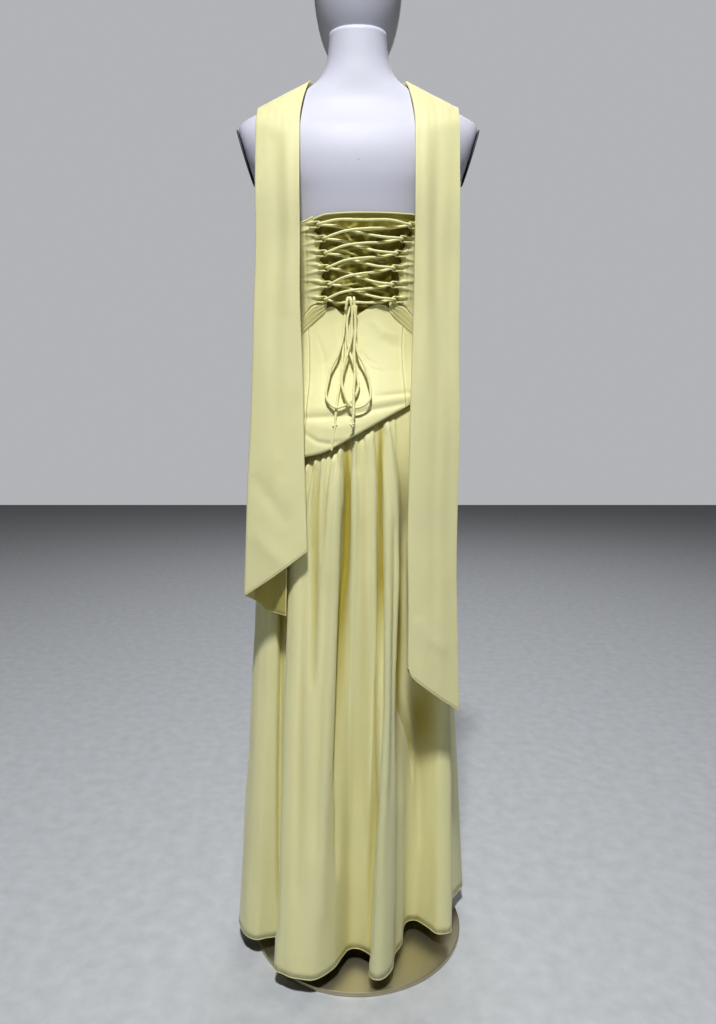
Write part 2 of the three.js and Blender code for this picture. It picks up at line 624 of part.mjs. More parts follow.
// Directions at even steps of length along the seam, between two directions.
function evenAngles(from, to, steps) {
  const fine = 720;
  const spots = Array.from({ length: fine + 1 }, (_, i) => {
    const angle = mix(from, to, i / fine);
    return { angle, point: onForm(angle, seamHeight(angle), 4) };
  });
  let length = 0;
  const marks = spots.map((spot, i) => {
    if (i > 0) length += spot.point.distanceTo(spots[i - 1].point);
    return { angle: spot.angle, length };
  });
  return Array.from({ length: steps + 1 }, (_, i) => {
    const wanted = (length * i) / steps;
    const k = Math.max(marks.findIndex((mark) => mark.length >= wanted - 1e-9), 1);
    const share = (wanted - marks[k - 1].length) / (marks[k].length - marks[k - 1].length);
    return mix(marks[k - 1].angle, marks[k].angle, share);
  });
}

// Small gathers: their depth grows just under the seam, and each dies out at its own depth.
function gatherWave(share, below) {
  const number = Math.floor(share * GATHERS);
  const life = 120 + 90 * Math.abs(Math.sin(number * 2.4)) + 70 * Math.abs(Math.sin(number * 0.9 + 1));
  const depth = mix(0.8, 3, smooth(below / 26)) * Math.exp(-((Math.max(below - 20, 0) / life) ** 2));
  return depth * Math.cos(2 * Math.PI * (share * GATHERS - 1 / 3));
}

function skirtPoint(angle, share, down) {
  const top = seamHeight(angle) + SKIRT_TUCK;
  const height = mix(top, HEM_HEIGHT, down);
  const below = top - height;
  const start = onForm(angle, top, SKIRT_OUT);
  const fold = (column) => along(FOLD_RING, 'seam', column, angle);
  const hip = new THREE.Vector2(fold('hipX'), fold('hipY'));
  const hem = new THREE.Vector2(fold('hemX'), fold('hemY'));
  const spot = new THREE.Vector2(start.x, start.y);
  if (height > HIP_HEIGHT) {
    const t = below / (top - HIP_HEIGHT);
    spot.lerp(hip, t + 0.4 * t * (1 - t));
  } else {
    const t = (HIP_HEIGHT - height) / (HIP_HEIGHT - HEM_HEIGHT);
    spot.copy(hip).lerp(hem, t);
  }
  const out = spot.clone().normalize();
  spot.addScaledVector(out, gatherWave(share, below));
  return new THREE.Vector3(spot.x, spot.y, height);
}

// The whole skirt is worked out as one ring, so that its halves match at the side seams.
function addSkirt() {
  const rings = SKIRT_RINGS.map(({ down, steps }) => [-90, 90].flatMap((from) =>
    evenAngles(from, from + 180, steps).slice(0, -1).map((angle, i) => skirtPoint(angle, i / steps, down))));
  const whole = stitch(rings, true);
  const normals = sheetNormals(whole);
  ['skirt_back', 'skirt_front'].forEach((name, half) => {
    const rows = [];
    const rowNormals = [];
    let start = 0;
    SKIRT_RINGS.forEach(({ steps }, r) => {
      const picked = Array.from({ length: steps + 1 }, (_, i) => start + ((half * steps + i) % (2 * steps)));
      const row = picked.map((i) => whole.points[i].clone());
      const inward = (end, next) => next.clone().sub(end).setLength(SEAM_GAP / 2 + 0.05);
      row[0].add(inward(row[0], row[1]));
      row[steps].add(inward(row[steps], row[steps - 1]));
      rows.push(row);
      rowNormals.push(...picked.map((i) => normals[i]));
      start += rings[r].length;
    });
    addPiece(name, wall(stitch(rows), CLOTH, rowNormals), COLOUR.satin);
  });
}

// ---- Scarf ------------------------------------------------------------------------------

// Depth of the form at a distance across, at one height, or nothing where it is narrower.
function formDepth(across, height, face) {
  const share = Math.abs(across) / along(FORM_LEVELS, 'height', 'half', height);
  if (share >= 1) return 0;
  return along(FORM_LEVELS, 'height', face, height) * (1 - share ** SECTION_POWER) ** (1 / SECTION_POWER);
}

// Highest place of the shoulder at a distance across and a depth.
function shoulderTop(across, depth, face) {
  let height = 1500;
  while (formDepth(across, height, face) <= depth && height > 1345) height -= 1;
  return height;
}

function deepest(across, face) {
  let depth = 0;
  for (let height = 1345; height < 1480; height += 5) depth = Math.max(depth, formDepth(across, height, face));
  return depth;
}

const SHOULDER_STEPS = [0, 18, 36, 54, 72];      // degrees over the shoulder, from its crest
const FALL_ROWS = 8;

function addScarf() {
  for (const [side, name, table] of [[-1, 'left', FALL_LEFT], [1, 'right', FALL_RIGHT]]) {
    const foldOutside = side < 0;
    const ends = FALL_ENDS[name];
    // One point: share across from the free hem of the near layer, then layer and row.
    const spot = (share, layerOut, row) => {
      const across = foldOutside ? share : 1 - share;
      if (row < SHOULDER_STEPS.length) {
        const turn = SHOULDER_STEPS[row] * DEG;
        const inner = mix(SHOULDER_EDGE.inner, table[0].inner, smooth(row / 3));
        const x = mix(inner, mix(SHOULDER_EDGE.outer, table[0].outer, row / 4), across);
        const deep = deepest(x, 'back') * Math.sin(turn);
        const lift = SCARF.lift - SCARF.layerGap * layerOut;
        const crest = row === 0 ? SEAM_GAP : 0;
        return new THREE.Vector3(side * x, -deep - lift * Math.sin(turn) - crest,
          shoulderTop(x, deep, 'back') + lift * Math.cos(turn));
      }
      const last = table[table.length - 1].height;
      const rest = (row - SHOULDER_STEPS.length) / (FALL_ROWS - 1);
      const near = mix(ends.hemCorner, ends.foldTip, share);
      const far = mix(ends.foldTip, ends.backCorner, (1 - share) / SCARF.backShare);
      const bottom = layerOut > 0.5 ? far : near;
      const height = mix(1320, Math.max(bottom, last), rest);
      const pick = (column) => along([...table].reverse(), 'height', column, height);
      const x = mix(pick('inner'), pick('outer'), across);
      const bow = 5 * Math.sin(Math.PI * across) * smooth(rest * 2);
      const deep = mix(pick('innerDeep'), pick('outerDeep'), across) + bow;
      return new THREE.Vector3(side * x, -deep + SCARF.hangGap * layerOut * mix(0.6, 1, rest), height);
    };
    const columns = [];
    for (let i = 0; i < 5; i += 1) columns.push([i / 5, 0]);
    columns.push([0.985, 0.06], [1, 0.5], [0.985, 0.94]);
    for (let i = 1; i <= 3; i += 1) columns.push([1 - (SCARF.backShare * i) / 3, 1]);
    const rows = [];
    for (let row = 0; row < SHOULDER_STEPS.length + FALL_ROWS; row += 1) {
      rows.push(columns.map(([share, layer]) => spot(share, layer, row)));
    }
    addPiece(`scarf_fall_${name}`, wall(stitch(rows), SATIN), COLOUR.satin);
  }

  const front = grid(18, 8, (s, t) => {
    const p = 2 * s - 1;
    const edge = mix(SHOULDER_EDGE.inner, SHOULDER_EDGE.outer, t);
    const crest = shoulderTop(edge, 0, 'front') + SCARF.lift;
    const drop = mix(COWL.innerDrop, COWL.outerDrop, t);
    const x = edge * Math.sin((p * Math.PI) / 2);
    const height = crest - drop * (1 - Math.abs(Math.sin((p * Math.PI) / 2)) ** 2.4);
    const body = Math.max(formDepth(x, height, 'front'), formDepth(x, height - 30, 'front'));
    const hang = smooth((1 - Math.abs(p)) * 3);
    const fold = COWL.fold * Math.sin(2 * Math.PI * COWL.folds * t + 2 * p) * hang;
    const y = Math.abs(p) === 1 ? SEAM_GAP : body + mix(SCARF.lift, COWL.clear + 10 * t, hang) + fold;
    return new THREE.Vector3(x, y, height);
  });
  addPiece('scarf_front', wall(stitch(front), SATIN), COLOUR.satin);
}

// ---- Lacing -----------------------------------------------------------------------------

function addLacing() {
  for (const [side, name] of [[-1, 'left'], [1, 'right']]) {
    LACING.forEach((row, i) => {
      const tip = row[name] - side * -LOOP.radius;
      const middle = tip + side * LOOP.bend;
      const route = [];
      const add = (across, up, out) => route.push(onBack(across, row.height + up, out));
      add(middle + side * LOOP.leg * 0.62, LOOP.bend * 0.8, LOOP.root);
      for (const turn of [75, 25, -25, -75]) {
        const out = LOOP.out - 0.5 * (1 - Math.cos(turn * DEG));
        add(middle - side * LOOP.bend * Math.cos(turn * DEG), LOOP.bend * Math.sin(turn * DEG), out);
      }
      add(middle + side * LOOP.leg * 0.62, -LOOP.bend * 0.8, LOOP.root);
      addPiece(`lace_loop_${name}_${i + 1}`, bentTube(route, LOOP.radius, 6), COLOUR.satin);
    });
  }

  // One lace: down one zigzag from the knot, across the top and back down the other one.
  const route = [];
  const turnAt = (side, row, entersOver) => {
    const name = side < 0 ? 'left' : 'right';
    const centre = LACING[row][name] + side * LOOP.radius;
    const bend = (LACE.over - LACE.under) / 2;
    const turns = [75, 25, -25, -75];
    for (const turn of entersOver ? turns : turns.reverse()) {
      route.push(onBack(centre + side * bend * Math.cos(turn * DEG), LACING[row].height,
        LACE.under + bend + bend * Math.sin(turn * DEG)));
    }
  };
  // Strand between two loops: it leaves one loop under it and comes over the other.
  const strand = (side, row, next, outs) => {
    const from = LACING[row][side < 0 ? 'left' : 'right'];
    const to = LACING[next][side < 0 ? 'right' : 'left'];
    for (const [i, share] of [0.22, 0.5, 0.78].entries()) {
      const straight = mix(LACING[row].height, LACING[next].height, share);
      const height = straight + LACE.bow * Math.sin(Math.PI * share);
      route.push(onBack(mix(from, to, share), height, outs[i]));
    }
  };
  const { over, under, high, low } = LACE;
  const toKnot = (side) => {
    const name = side < 0 ? 'left' : 'right';
    const start = LACING[5][name];
    const end = KNOT.across + side * (KNOT.wide + 0.8);
    return [0.35, 0.7, 1].map((share) => onBack(mix(start, end, share),
      mix(LACING[5].height, KNOT.height, share) - 3 * Math.sin(Math.PI * share), mix(7, 8.6, share)));
  };
  // Right side of the knot up to the first left loop, in pairs of opposite loops.
  route.push(...toKnot(1).reverse());
  for (let row = 5, side = 1; row > 0; row -= 1, side = -side) {
    turnAt(side, row, false);
    strand(side, row, row - 1, side > 0 ? [high, low, under + 0.6] : [over, high, low]);
  }
  turnAt(-1, 0, false);
  route.push(...[0.2, 0.5, 0.8].map((share) => onBack(mix(LACING[0].left, LACING[0].right, share),
    LACING[0].height + 7 - 2 * Math.sin(Math.PI * share), over - 1.5)));
  for (let row = 0, side = 1; row < 5; row += 1, side = -side) {
    turnAt(side, row, true);
    strand(side, row, row + 1, side > 0 ? [low, high, over] : [under + 0.6, low, high]);
  }
  turnAt(-1, 5, true);
  route.push(...toKnot(-1));
  addPiece('lace_crossing', bentTube(route, LACE.radius, 8), COLOUR.satin);
}

function addBow() {
  const knot = new THREE.SphereGeometry(1, 10, 7).scale(KNOT.wide, KNOT.deep, KNOT.tall);
  knot.translate(...onBack(KNOT.across, KNOT.height, 13).toArray());
  addPiece('bow_knot', knot, COLOUR.satin);

  const yokeOut = (height) => YOKE_OUT + CLOTH / 2
    + (YOKE_EDGE_OUT - YOKE_OUT) * smooth((1138 - height) / 200);
  const strand = (name, points, layer) => {
    const route = points.map(([across, height]) =>
      onBack(across, height, yokeOut(height) + LACE.radius + 0.6 + BOW_LAYER * layer));
    addPiece(name, cord(route, LACE.radius), COLOUR.satin);
  };
  strand('lace_tail_left', TAIL_LEFT, 0);
  strand('bow_loop_left', BOW_LOOP_LEFT, 1);
  strand('bow_loop_right', BOW_LOOP_RIGHT, 2);
  strand('lace_tail_right', TAIL_RIGHT, 3);
}

addForm();
addCorset();
addYoke();
addSkirt();
addScarf();
addLacing();
addBow();

export default model;
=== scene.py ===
"""Strapless maxi dress with a laced back and a long scarf, on a limbless dress form.

The garment is worked out in millimetres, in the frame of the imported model: the origin is the middle of the
base plate's underside, +Z is up, the laced back faces -Y and +X is the wearer's right. Meshes are made in
metres. Angles go round the body in degrees, from the middle of the back towards +X.
"""

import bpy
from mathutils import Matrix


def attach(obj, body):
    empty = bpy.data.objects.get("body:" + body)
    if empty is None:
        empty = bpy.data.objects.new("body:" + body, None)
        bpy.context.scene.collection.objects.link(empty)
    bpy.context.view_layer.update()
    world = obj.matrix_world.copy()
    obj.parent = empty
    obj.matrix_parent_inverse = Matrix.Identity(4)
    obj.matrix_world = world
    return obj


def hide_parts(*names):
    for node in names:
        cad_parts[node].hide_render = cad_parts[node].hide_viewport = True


bl_info = {
    "name": "Strapless maxi dress on a dress form",
    "version": (1, 0, 0),
    "blender": (4, 5, 0),
    "location": "3D View > Sidebar > Dress",
    "description": "Makes the dress, its scarf and lacing, the dress form and a plain studio",
    "category": "Object",
}

import bpy
import numpy as np
from bpy.props import FloatProperty, FloatVectorProperty, PointerProperty
from mathutils import Vector

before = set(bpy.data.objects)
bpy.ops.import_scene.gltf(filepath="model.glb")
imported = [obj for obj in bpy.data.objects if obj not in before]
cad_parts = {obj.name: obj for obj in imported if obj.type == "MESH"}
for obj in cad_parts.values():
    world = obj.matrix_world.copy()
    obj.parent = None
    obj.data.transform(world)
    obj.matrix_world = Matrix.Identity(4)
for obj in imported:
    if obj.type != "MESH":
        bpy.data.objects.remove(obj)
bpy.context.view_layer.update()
BODY = "root"
MM = 0.001

# ---- Tables and sizes, in millimetres -----------------------------------------------------


def columns(names, rows):
    """A table as a dictionary of named columns."""
    return dict(zip(names.split(), np.array(rows, float).T))


FORM = columns("height half front back", [
    (780, 135, 80, 100), (860, 160, 95, 116), (920, 165, 100, 116), (980, 156, 98, 106), (1040, 135, 92, 88),
    (1100, 116, 85, 74), (1140, 112, 82, 70), (1200, 121, 88, 77), (1260, 134, 96, 86), (1310, 147, 98, 93),
    (1345, 172, 95, 96), (1380, 192, 90, 93), (1415, 203, 80, 82), (1438, 193, 68, 68), (1460, 150, 56, 58),
    (1476, 117, 54, 54), (1490, 86, 54, 52), (1506, 65, 54, 50), (1530, 53, 55, 47), (1560, 48, 56, 45),
    (1580, 47, 56, 44),
])
FORM_BOTTOM, NECK_TOP = 780, 1576
SECTION_POWER = 2.3
CUP = {"rise": 24, "side": 38, "height": 1232, "spread": 24, "tall": 46}
SOCKET = {"reach": 191, "level": 1410, "lean": 0.3, "middle": 1388, "tall": 46, "deep": 36, "plate": 2.5}
HEAD = {"forward": 20, "lean": 14, "middle": 1700, "half": 74, "deep": 92, "up": 106, "down": 168, "full": 2.5}
BASE_DIAMETER, BASE_THICKNESS, POLE_DIAMETER = 386, 8, 24

SEAM_GAP, BAND_GAP, SIDE_SEAM = 0.3, 3.4, 92
MODESTY_OUT, CORSET_OUT, YOKE_OUT, YOKE_EDGE_OUT, SKIRT_OUT = 2, 4.6, 4.6, 12, 5.4
CORSET_TOP = {"back": 1277, "side": 1264, "front": 1296, "cup": 14, "cupWidth": 20, "tip": 7, "from": 92,
              "run": 34}
MODESTY = {"left": -66, "right": 84, "bottom": 1126, "top": 1281, "bow": 3, "under": 15.0, "drop": 9,
           "dropFrom": 18, "dropRun": 44}
WAIST = {"back": 1142, "bend": 52, "side": 1070, "front": 1046, "sweep": 0.4, "band": 13, "grow": 26,
         "puff": 0.8}
LACING = columns("height left right", [
    (1264, -58, 78), (1243, -49, 65), (1221, -47.5, 57), (1199, -44.5, 52.5), (1174, -41.5, 51),
    (1151, -48, 54),
])
LOOP = {"bend": 4.5, "radius": 1.3, "out": 9.4, "root": 7, "leg": 21}
LACE = {"radius": 2.1, "over": 14, "under": 5.3, "high": 12.4, "low": 7, "rise": (4.4, 2.6, -0.6),
        "sag": (-3.2, -2.6, 1.0)}
SCALLOP = {"near": 7, "far": 14, "reach": 11}
SLANT = {"middle": 937, "rise": 0.57, "bend": -45, "ease": 0.044}
YOKE_SEAM_TOP = 1095
YOKE_SEAM = {"left": -81, "right": 74}
YOKE_TOP = columns("across height", [
    (-100, 1084), (-82, 1099), (-62, 1122), (-48, 1137), (-38, 1138), (-26, 1126), (-6, 1122), (8, 1131),
    (28, 1142), (44, 1140), (60, 1121), (78, 1099), (100, 1084),
])
YOKE_DIP = {"from": 84, "run": 22}

HEM_HEIGHT, HIP_HEIGHT, SKIRT_TUCK, GATHERS = 35, 700, 7, 36
# Crests and hollows of the skirt's folds, in order round the body from the left side seam.
FOLDS = columns("seam hip wide hem reach", [
    (-84, -84, 176, -82, 222), (-75, -74, 176, -70, 223), (-67, -66, 166, -62, 208), (-61, -60, 151, -60, 184),
    (-56, -56, 133, -54, 152), (-51, -51, 139, -46, 168), (-46, -47, 157, -41, 217), (-38, -38, 159, -34, 222),
    (-29, -28, 150, -27, 217), (-20, -20, 150, -20, 206), (-13, -13, 141, -13.5, 173), (-9, -9, 131, -11, 145),
    (-4, -5, 129, -8, 126), (3, 3, 134, -1, 122), (9, 10, 134, 6, 131), (13, 14, 128, 9, 147),
    (16, 17, 138, 6, 186), (21, 22, 147, 11, 199), (26, 28, 143, 18.5, 182), (31, 33, 128, 25, 150),
    (37, 39, 119, 36, 133), (45, 47, 118, 52, 106), (52, 54, 124, 62, 104), (59, 60, 136, 67, 118),
    (65, 65, 146, 63, 143), (70, 69, 158, 60, 166), (75, 74, 165, 65, 185), (81, 80, 163, 71, 179),
    (87, 87, 154, 80, 158), (94, 94, 163, 92, 174), (101, 101, 172, 101, 200), (107, 107, 168, 107, 214),
    (114, 114, 150, 114, 164), (123, 123, 160, 122, 210), (132, 131, 156, 130, 208), (141, 140, 136, 139, 150),
    (150, 149, 148, 149, 203), (158, 158, 146, 157, 211), (167, 167, 130, 165, 144), (175, 175, 134, 176, 150),
    (184, 184, 133, 184, 144), (193, 193, 145, 192, 199), (203, 203, 150, 202, 216), (212, 212, 146, 211, 200),
    (220, 220, 134, 221, 152), (229, 229, 152, 229, 206), (238, 238, 158, 239, 218), (247, 247, 148, 248, 168),
    (256, 257, 162, 256, 212), (264, 264, 170, 264, 216), (270, 270, 164, 271, 190),
])
# Gathers that stand out at the back: middle across, width, height above the plain cloth, and reach down.
BACK_GATHERS = columns("across wide rise long", [
    (-77, 3.4, 8, 120), (-64, 4.6, 8.5, 170), (-53, 3.8, 8, 100), (-45, 2.8, 6.5, 70), (-36, 4.0, 9, 150),
    (-27, 3.8, 8.5, 190), (-5, 4.4, 8.5, 200), (5, 3.2, 6, 80), (13, 3.8, 8, 110), (21, 4.4, 8, 190),
    (31, 3.2, 5, 110), (44, 5.0, 8, 260), (54, 3.6, 6, 110), (64, 5.5, 8, 240), (76, 3.6, 6.5, 130),
])
# Long folds of the skirt's back: rise (a trough is below nothing), width, and points across and up.
SKIRT_CREASES = [
    (-14, 4.6, [(-16, 925), (-17, 830), (-19, 720), (-26, 590), (-31, 450), (-33, 320), (-35, 200)]),
    (6, 10, [(-34, 880), (-36, 760), (-43, 620), (-51, 460), (-56, 300), (-60, 120)]),
    (5, 7, [(-3, 880), (-5, 760), (-10, 600), (-15, 420), (-17, 240)]),
    (-12, 4.2, [(35, 955), (36, 830), (36, 720), (37, 590), (37, 500), (29, 330), (21, 190), (18, 50)]),
    (5, 7, [(47, 930), (49, 800), (50, 640), (48, 480), (41, 320), (34, 160)]),
    (4, 6, [(26, 880), (26, 740), (27, 600), (24, 440), (17, 280)]),
    (-7, 6, [(-68, 890), (-70, 780), (-72, 640), (-76, 520)]),
    (-5, 9, [(-48, 700), (-56, 560), (-66, 400), (-72, 240)]),
    (-4, 9, [(9, 800), (11, 640), (8, 460), (4, 290)]),
    (-6, 7, [(58, 800), (60, 640), (60, 480), (56, 330)]),
    (-6, 10, [(-88, 760), (-94, 560), (-98, 360), (-102, 160)]),
    (-10, 7, [(76, 850), (78, 700), (76, 560), (74, 430), (72, 300)]),
    (-14, 4.5, [(-124, 700), (-131, 600), (-135, 420), (-138, 240), (-139, 90)]),
    (-9, 3.4, [(71, 560), (75, 500), (81, 455), (92, 391), (97, 320)]),
    (-8, 3.6, [(-24, 820), (-29, 640), (-35, 470), (-41, 330)]),
    (-5, 8, [(104, 480), (108, 320), (112, 180)]),
]

FALLS = {
    "left": columns("height inner outer innerDeep outerDeep", [
        (640, 81, 190, 154, 124), (765, 82, 183, 146, 118), (850, 84, 179, 138, 112), (942, 86, 175, 130, 106),
        (1068, 90, 169, 117, 98), (1183, 91, 164, 112, 90), (1276, 91, 162, 108, 84),
    ]),
    "right": columns("height inner outer innerDeep outerDeep", [
        (460, 82, 171, 146, 122), (553, 81, 166, 144, 120), (620, 81, 163, 142, 118), (765, 81, 161, 138, 114),
        (942, 82, 162, 132, 108), (1068, 86, 161, 118, 98), (1183, 88, 161, 112, 90), (1276, 89, 160, 108, 84),
    ]),
}
FALL_ENDS = {
    "left": {"hem": 751, "fold": 672, "back": 612, "curl": 0},
    "right": {"hem": 475, "fold": 546, "back": 612, "curl": 12},
}
SCARF = {"lift": 8.6, "layer": 3.6, "hang": 8, "back": 0.66, "top": 1320, "tuck": 32, "sway": 0.9}
SHOULDER_EDGE = {"inner": 75, "outer": 161}
SHOULDER_STEPS = (0, 18, 36, 54, 72)
FALL_ROWS = 8
COWL = {"inner": 92, "outer": 150, "clear": 12, "folds": 3, "fold": 5}

KNOT = {"across": -11, "height": 1146, "wide": 8, "deep": 8, "tall": 6, "out": 13}
BOW_LAYER, BOW_CLEAR = 4.7, 0.6
# Strands of the bow as points across and up the back, and their layer out from the yoke.
BOW = {
    "lace_tail_left": (0, [(-16, 1138), (-23, 1108), (-24, 1070), (-27, 1030), (-33, 990), (-36, 960),
                           (-37, 945), (-42, 912)]),
    "bow_loop_left": (1, [(-18, 1138), (-22, 1114), (-24, 1090), (-32, 1062), (-43, 1040), (-48, 1018),
                          (-51, 1000), (-47, 987), (-35, 978), (-18, 983), (-6, 994), (1, 1012),
                          (-1, 1025), (-8, 1050), (-15, 1072), (-17, 1096), (-17.5, 1116), (-12.5, 1138)]),
    "bow_loop_right": (2, [(-3, 1138), (-4.5, 1114), (-4.5, 1086), (1, 1062), (9, 1047), (17, 1022),
                           (20, 1004), (19, 992), (10, 982), (-3, 978), (-14, 984), (-23, 1004),
                           (-26, 1020), (-22, 1046),
                           (-15, 1070), (-10, 1092), (-10, 1116), (-8.5, 1138)]),
    "lace_tail_right": (3, [(-6, 1138), (-4, 1106), (-6, 1068), (-5, 1034), (-7, 998), (-7, 972), (-9, 950)]),
}

# Steps of each sheet's grid, across and down.
CLOTH_STEPS = {
    "corset_front": (200, 60), "corset_back": (60, 120), "waist_band": (70, 48), "modesty_panel": (120, 120),
    "yoke_back": (180, 130), "yoke_side_left": (80, 90), "yoke_side_right": (64, 60), "yoke_front": (180, 64),
    "skirt_back": (400, 84), "skirt_front": (250, 66), "scarf_fall": (84, 170), "scarf_front": (130, 60),
}
TUBE_SIDES, ROLL_SIDES = 12, 8
# Radii of the rolled edges and of the turns of the bow's knot.
ROLL = {"corsetFront": 1.5, "corsetBack": 1.7, "laced": 1.1, "modesty": 1.2, "yokeTop": 1.1, "yokeEdge": 0.95,
        "scarfEnd": 1.1, "scarfSide": 0.9}
KNOT_RADIUS = {"turn": 2.2, "through": 2.1}
# Length of one ring of the lace, of its loops and knots, and of a rolled edge.
STEP = {"bow": 1.2, "crossing": 1.2, "loop": 0.7, "knot": 0.8, "roll": 2.2}
# Painted shade on the skirt's folds: steps to each side over which a fold is judged, the depth that counts as
# full, the share of it that shows on ridges and low down in hollows, and the strength of the painted shadow at
# the places below and under the yoke's edge along the top seam, with that shadow's width.
PAINTED_SHADE_OF_FOLDS = {"reach": 24, "full": 9.0, "ridge": 0.75, "low": 0.4, "lowFrom": 200, "lowRun": 500, "deep": 0.9,
             "seam": 0.75, "yokeShadowWide": 9}
# Least distance from the skirt's cloth to the form.
FORM_CLEAR = 2.2
# Degrees from a seam to the edge of each piece that meets there.
SEAM_TURN = 0.1
# Share of the corset's back panels, from the top, over which their pleats fade in.
RIM_FADE = 0.07
# Where a hanging end of the scarf turns into its far layer, as a share of its grid, and the painted shade on
# that layer.
FAR_LAYER = {"from": 0.66, "run": 0.05, "fold": -0.85}
# Small knots at the free ends of the lace: across and up. Turns of the bow's knot: lean, and place across.
END_KNOTS = {"lace_tail_left": (-36.6, 949), "lace_tail_right": (-9, 951)}
KNOT_TURNS = ((-1.2, -6.2), (0.8, -0.6), (0.4, 4.8))
# Directions round a loop's bend, in degrees, and places along a strand between two loops.
BEND_TURNS = np.array([75, 25, -25, -75])
STRAND_SHARES = (0.22, 0.5, 0.78)

# ---- Plain maths ---------------------------------------------------------------------------


def mix(a, b, t):
    return a + (b - a) * t


def smooth(t):
    t = np.clip(t, 0, 1)
    return t * t * (3 - 2 * t)


def bell(distance, width):
    return np.exp(-((distance / width) ** 2))


def along(table, key, column, place):
    """Smooth value of one column of a table at a place along another column, which rises."""
    keys, values = table[key], table[column]
    place = np.clip(place, keys[0], keys[-1])
    here = np.clip(np.searchsorted(keys, place, side="right") - 1, 0, len(keys) - 2)
    before, after, beyond = np.maximum(here - 1, 0), here + 1, np.minimum(here + 2, len(keys) - 1)

    def shaped(numbers):
        return numbers.reshape(numbers.shape + (1,) * (values.ndim - 1))

    span = shaped(keys[after] - keys[here])
    t = shaped(place - keys[here]) / span
    start = (values[after] - values[before]) / shaped(keys[after] - keys[before]) * span
    end = (values[beyond] - values[here]) / shaped(keys[beyond] - keys[here]) * span
    rise = values[after] - values[here]
    return values[here] + t * start + t**2 * (3 * rise - 2 * start - end) + t**3 * (start + end - 2 * rise)


def lengths(route):
    """Length along a route of points up to each of them."""
    steps = np.linalg.norm(np.diff(route, axis=0), axis=-1)
    return np.concatenate([[0], np.cumsum(steps)])


def curve(points, step):
    """Even steps along a smooth curve through points."""
    points = np.array(points, float)
    run = lengths(points)
    table = {"run": run, "point": points}
    fine = along(table, "run", "point", np.linspace(0, run[-1], int(run[-1] / step * 4) + 8))
    run = lengths(fine)
    even = np.linspace(0, run[-1], max(int(round(run[-1] / step)), 4) + 1)
    return np.stack([np.interp(even, run, fine[:, i]) for i in range(3)], axis=-1)


def refine(points, name):
    """A sheet's grid, smooth through every point of a coarse one."""
    for count in CLOTH_STEPS[name][::-1]:
        run = lengths(points.mean(axis=1))
        table = {"run": run, "point": points}
        points = along(table, "run", "point", np.linspace(0, run[-1], count + 1)).swapaxes(0, 1)
    return points


# ---- The form's surface, and places on the garment -------------------------------------------


def reach(angle, height):
    """Reach of the form's surface from its upright axis."""
    turn = np.radians(angle)
    half = along(FORM, "height", "half", height)
    back, front = (along(FORM, "height", face, height) for face in ("back", "front"))
    deep = np.where(np.cos(turn) > 0, back, front)
    level = (np.abs(np.sin(turn)) / half) ** SECTION_POWER + (np.abs(np.cos(turn)) / deep) ** SECTION_POWER
    side = np.abs(np.mod(angle, 360) - 180)
    cup = bell(side - CUP["side"], CUP["spread"]) * bell(height - CUP["height"], CUP["tall"])
    return level ** (-1 / SECTION_POWER) + CUP["rise"] * cup


def on_form(angle, height, out=0.0):
    """Points on the form, moved out level along the surface's own direction."""
    angle, height, out = np.broadcast_arrays(*(np.asarray(v, float) for v in (angle, height, out)))

    def spot(turned):
        radius, turn = reach(turned, height), np.radians(turned)
        return np.stack([radius * np.sin(turn), -radius * np.cos(turn)], axis=-1)

    here = spot(angle)
    run = spot(angle + 1) - spot(angle - 1)
    run /= np.linalg.norm(run, axis=-1, keepdims=True)
    return np.stack([here[..., 0] + out * run[..., 1], here[..., 1] - out * run[..., 0], height], axis=-1)


def back_angle(across, height):
    """The angle at which the back of the form lies a given distance across."""
    half, deep = (along(FORM, "height", column, height) for column in ("half", "back"))
    share = np.minimum(np.abs(across) / half, 0.999)
    return np.degrees(np.arctan2(across, deep * (1 - share**SECTION_POWER) ** (1 / SECTION_POWER)))


def on_back(across, height, out):
    """Points off the back of the form at a distance across, moved out by a layer's distance."""
    across, height, out = np.broadcast_arrays(*(np.asarray(v, float) for v in (across, height, out)))
    foot = across.copy()
    for _ in range(4):
        foot = foot + across - on_form(back_angle(foot, height), height, out)[..., 0]
    return on_form(back_angle(foot, height), height, out)


def round_share(angle):
    """Share of the way round from the middle of the back to the middle of the front."""
    return np.abs(np.mod(angle + 180, 360) - 180) / 180


def waist_share(angle):
    """Share of the way from the bend of the waist seam to the side seam, at the back."""
    across = np.abs(on_form(angle, WAIST["back"])[..., 0])
    return (across - WAIST["bend"]) / (reach(90, WAIST["side"]) - WAIST["bend"])


def waist_height(angle):
    """Height of the seam between corset and yoke."""
    share = waist_share(angle)
    back = mix(WAIST["back"], WAIST["side"], mix(np.maximum(share, 0), smooth(share), WAIST["sweep"]))
    front = mix(WAIST["side"], WAIST["front"], smooth(round_share(angle) * 2 - 1))
    return np.where(round_share(angle) > 0.5, front, back)


def band_width(angle):
    """Width of the folded band along the waist seam of a back panel."""
    across = np.abs(on_form(angle, WAIST["back"])[..., 0])
    return WAIST["band"] * smooth((across - WAIST["bend"]) / WAIST["grow"])


def corset_top(angle):
    share = round_share(angle)
    back = mix(CORSET_TOP["back"], CORSET_TOP["side"], smooth(share * 2))
    front = mix(CORSET_TOP["side"], CORSET_TOP["front"], smooth(share * 2 - 1))
    cup = bell(share * 180 - 180 + CUP["side"], CORSET_TOP["cupWidth"])
    across = np.abs(on_form(angle, CORSET_TOP["back"])[..., 0])
    tip = CORSET_TOP["tip"] * smooth((CORSET_TOP["from"] - across) / CORSET_TOP["run"])
    return np.where(share < 0.5, back + tip, front) + CORSET_TOP["cup"] * cup


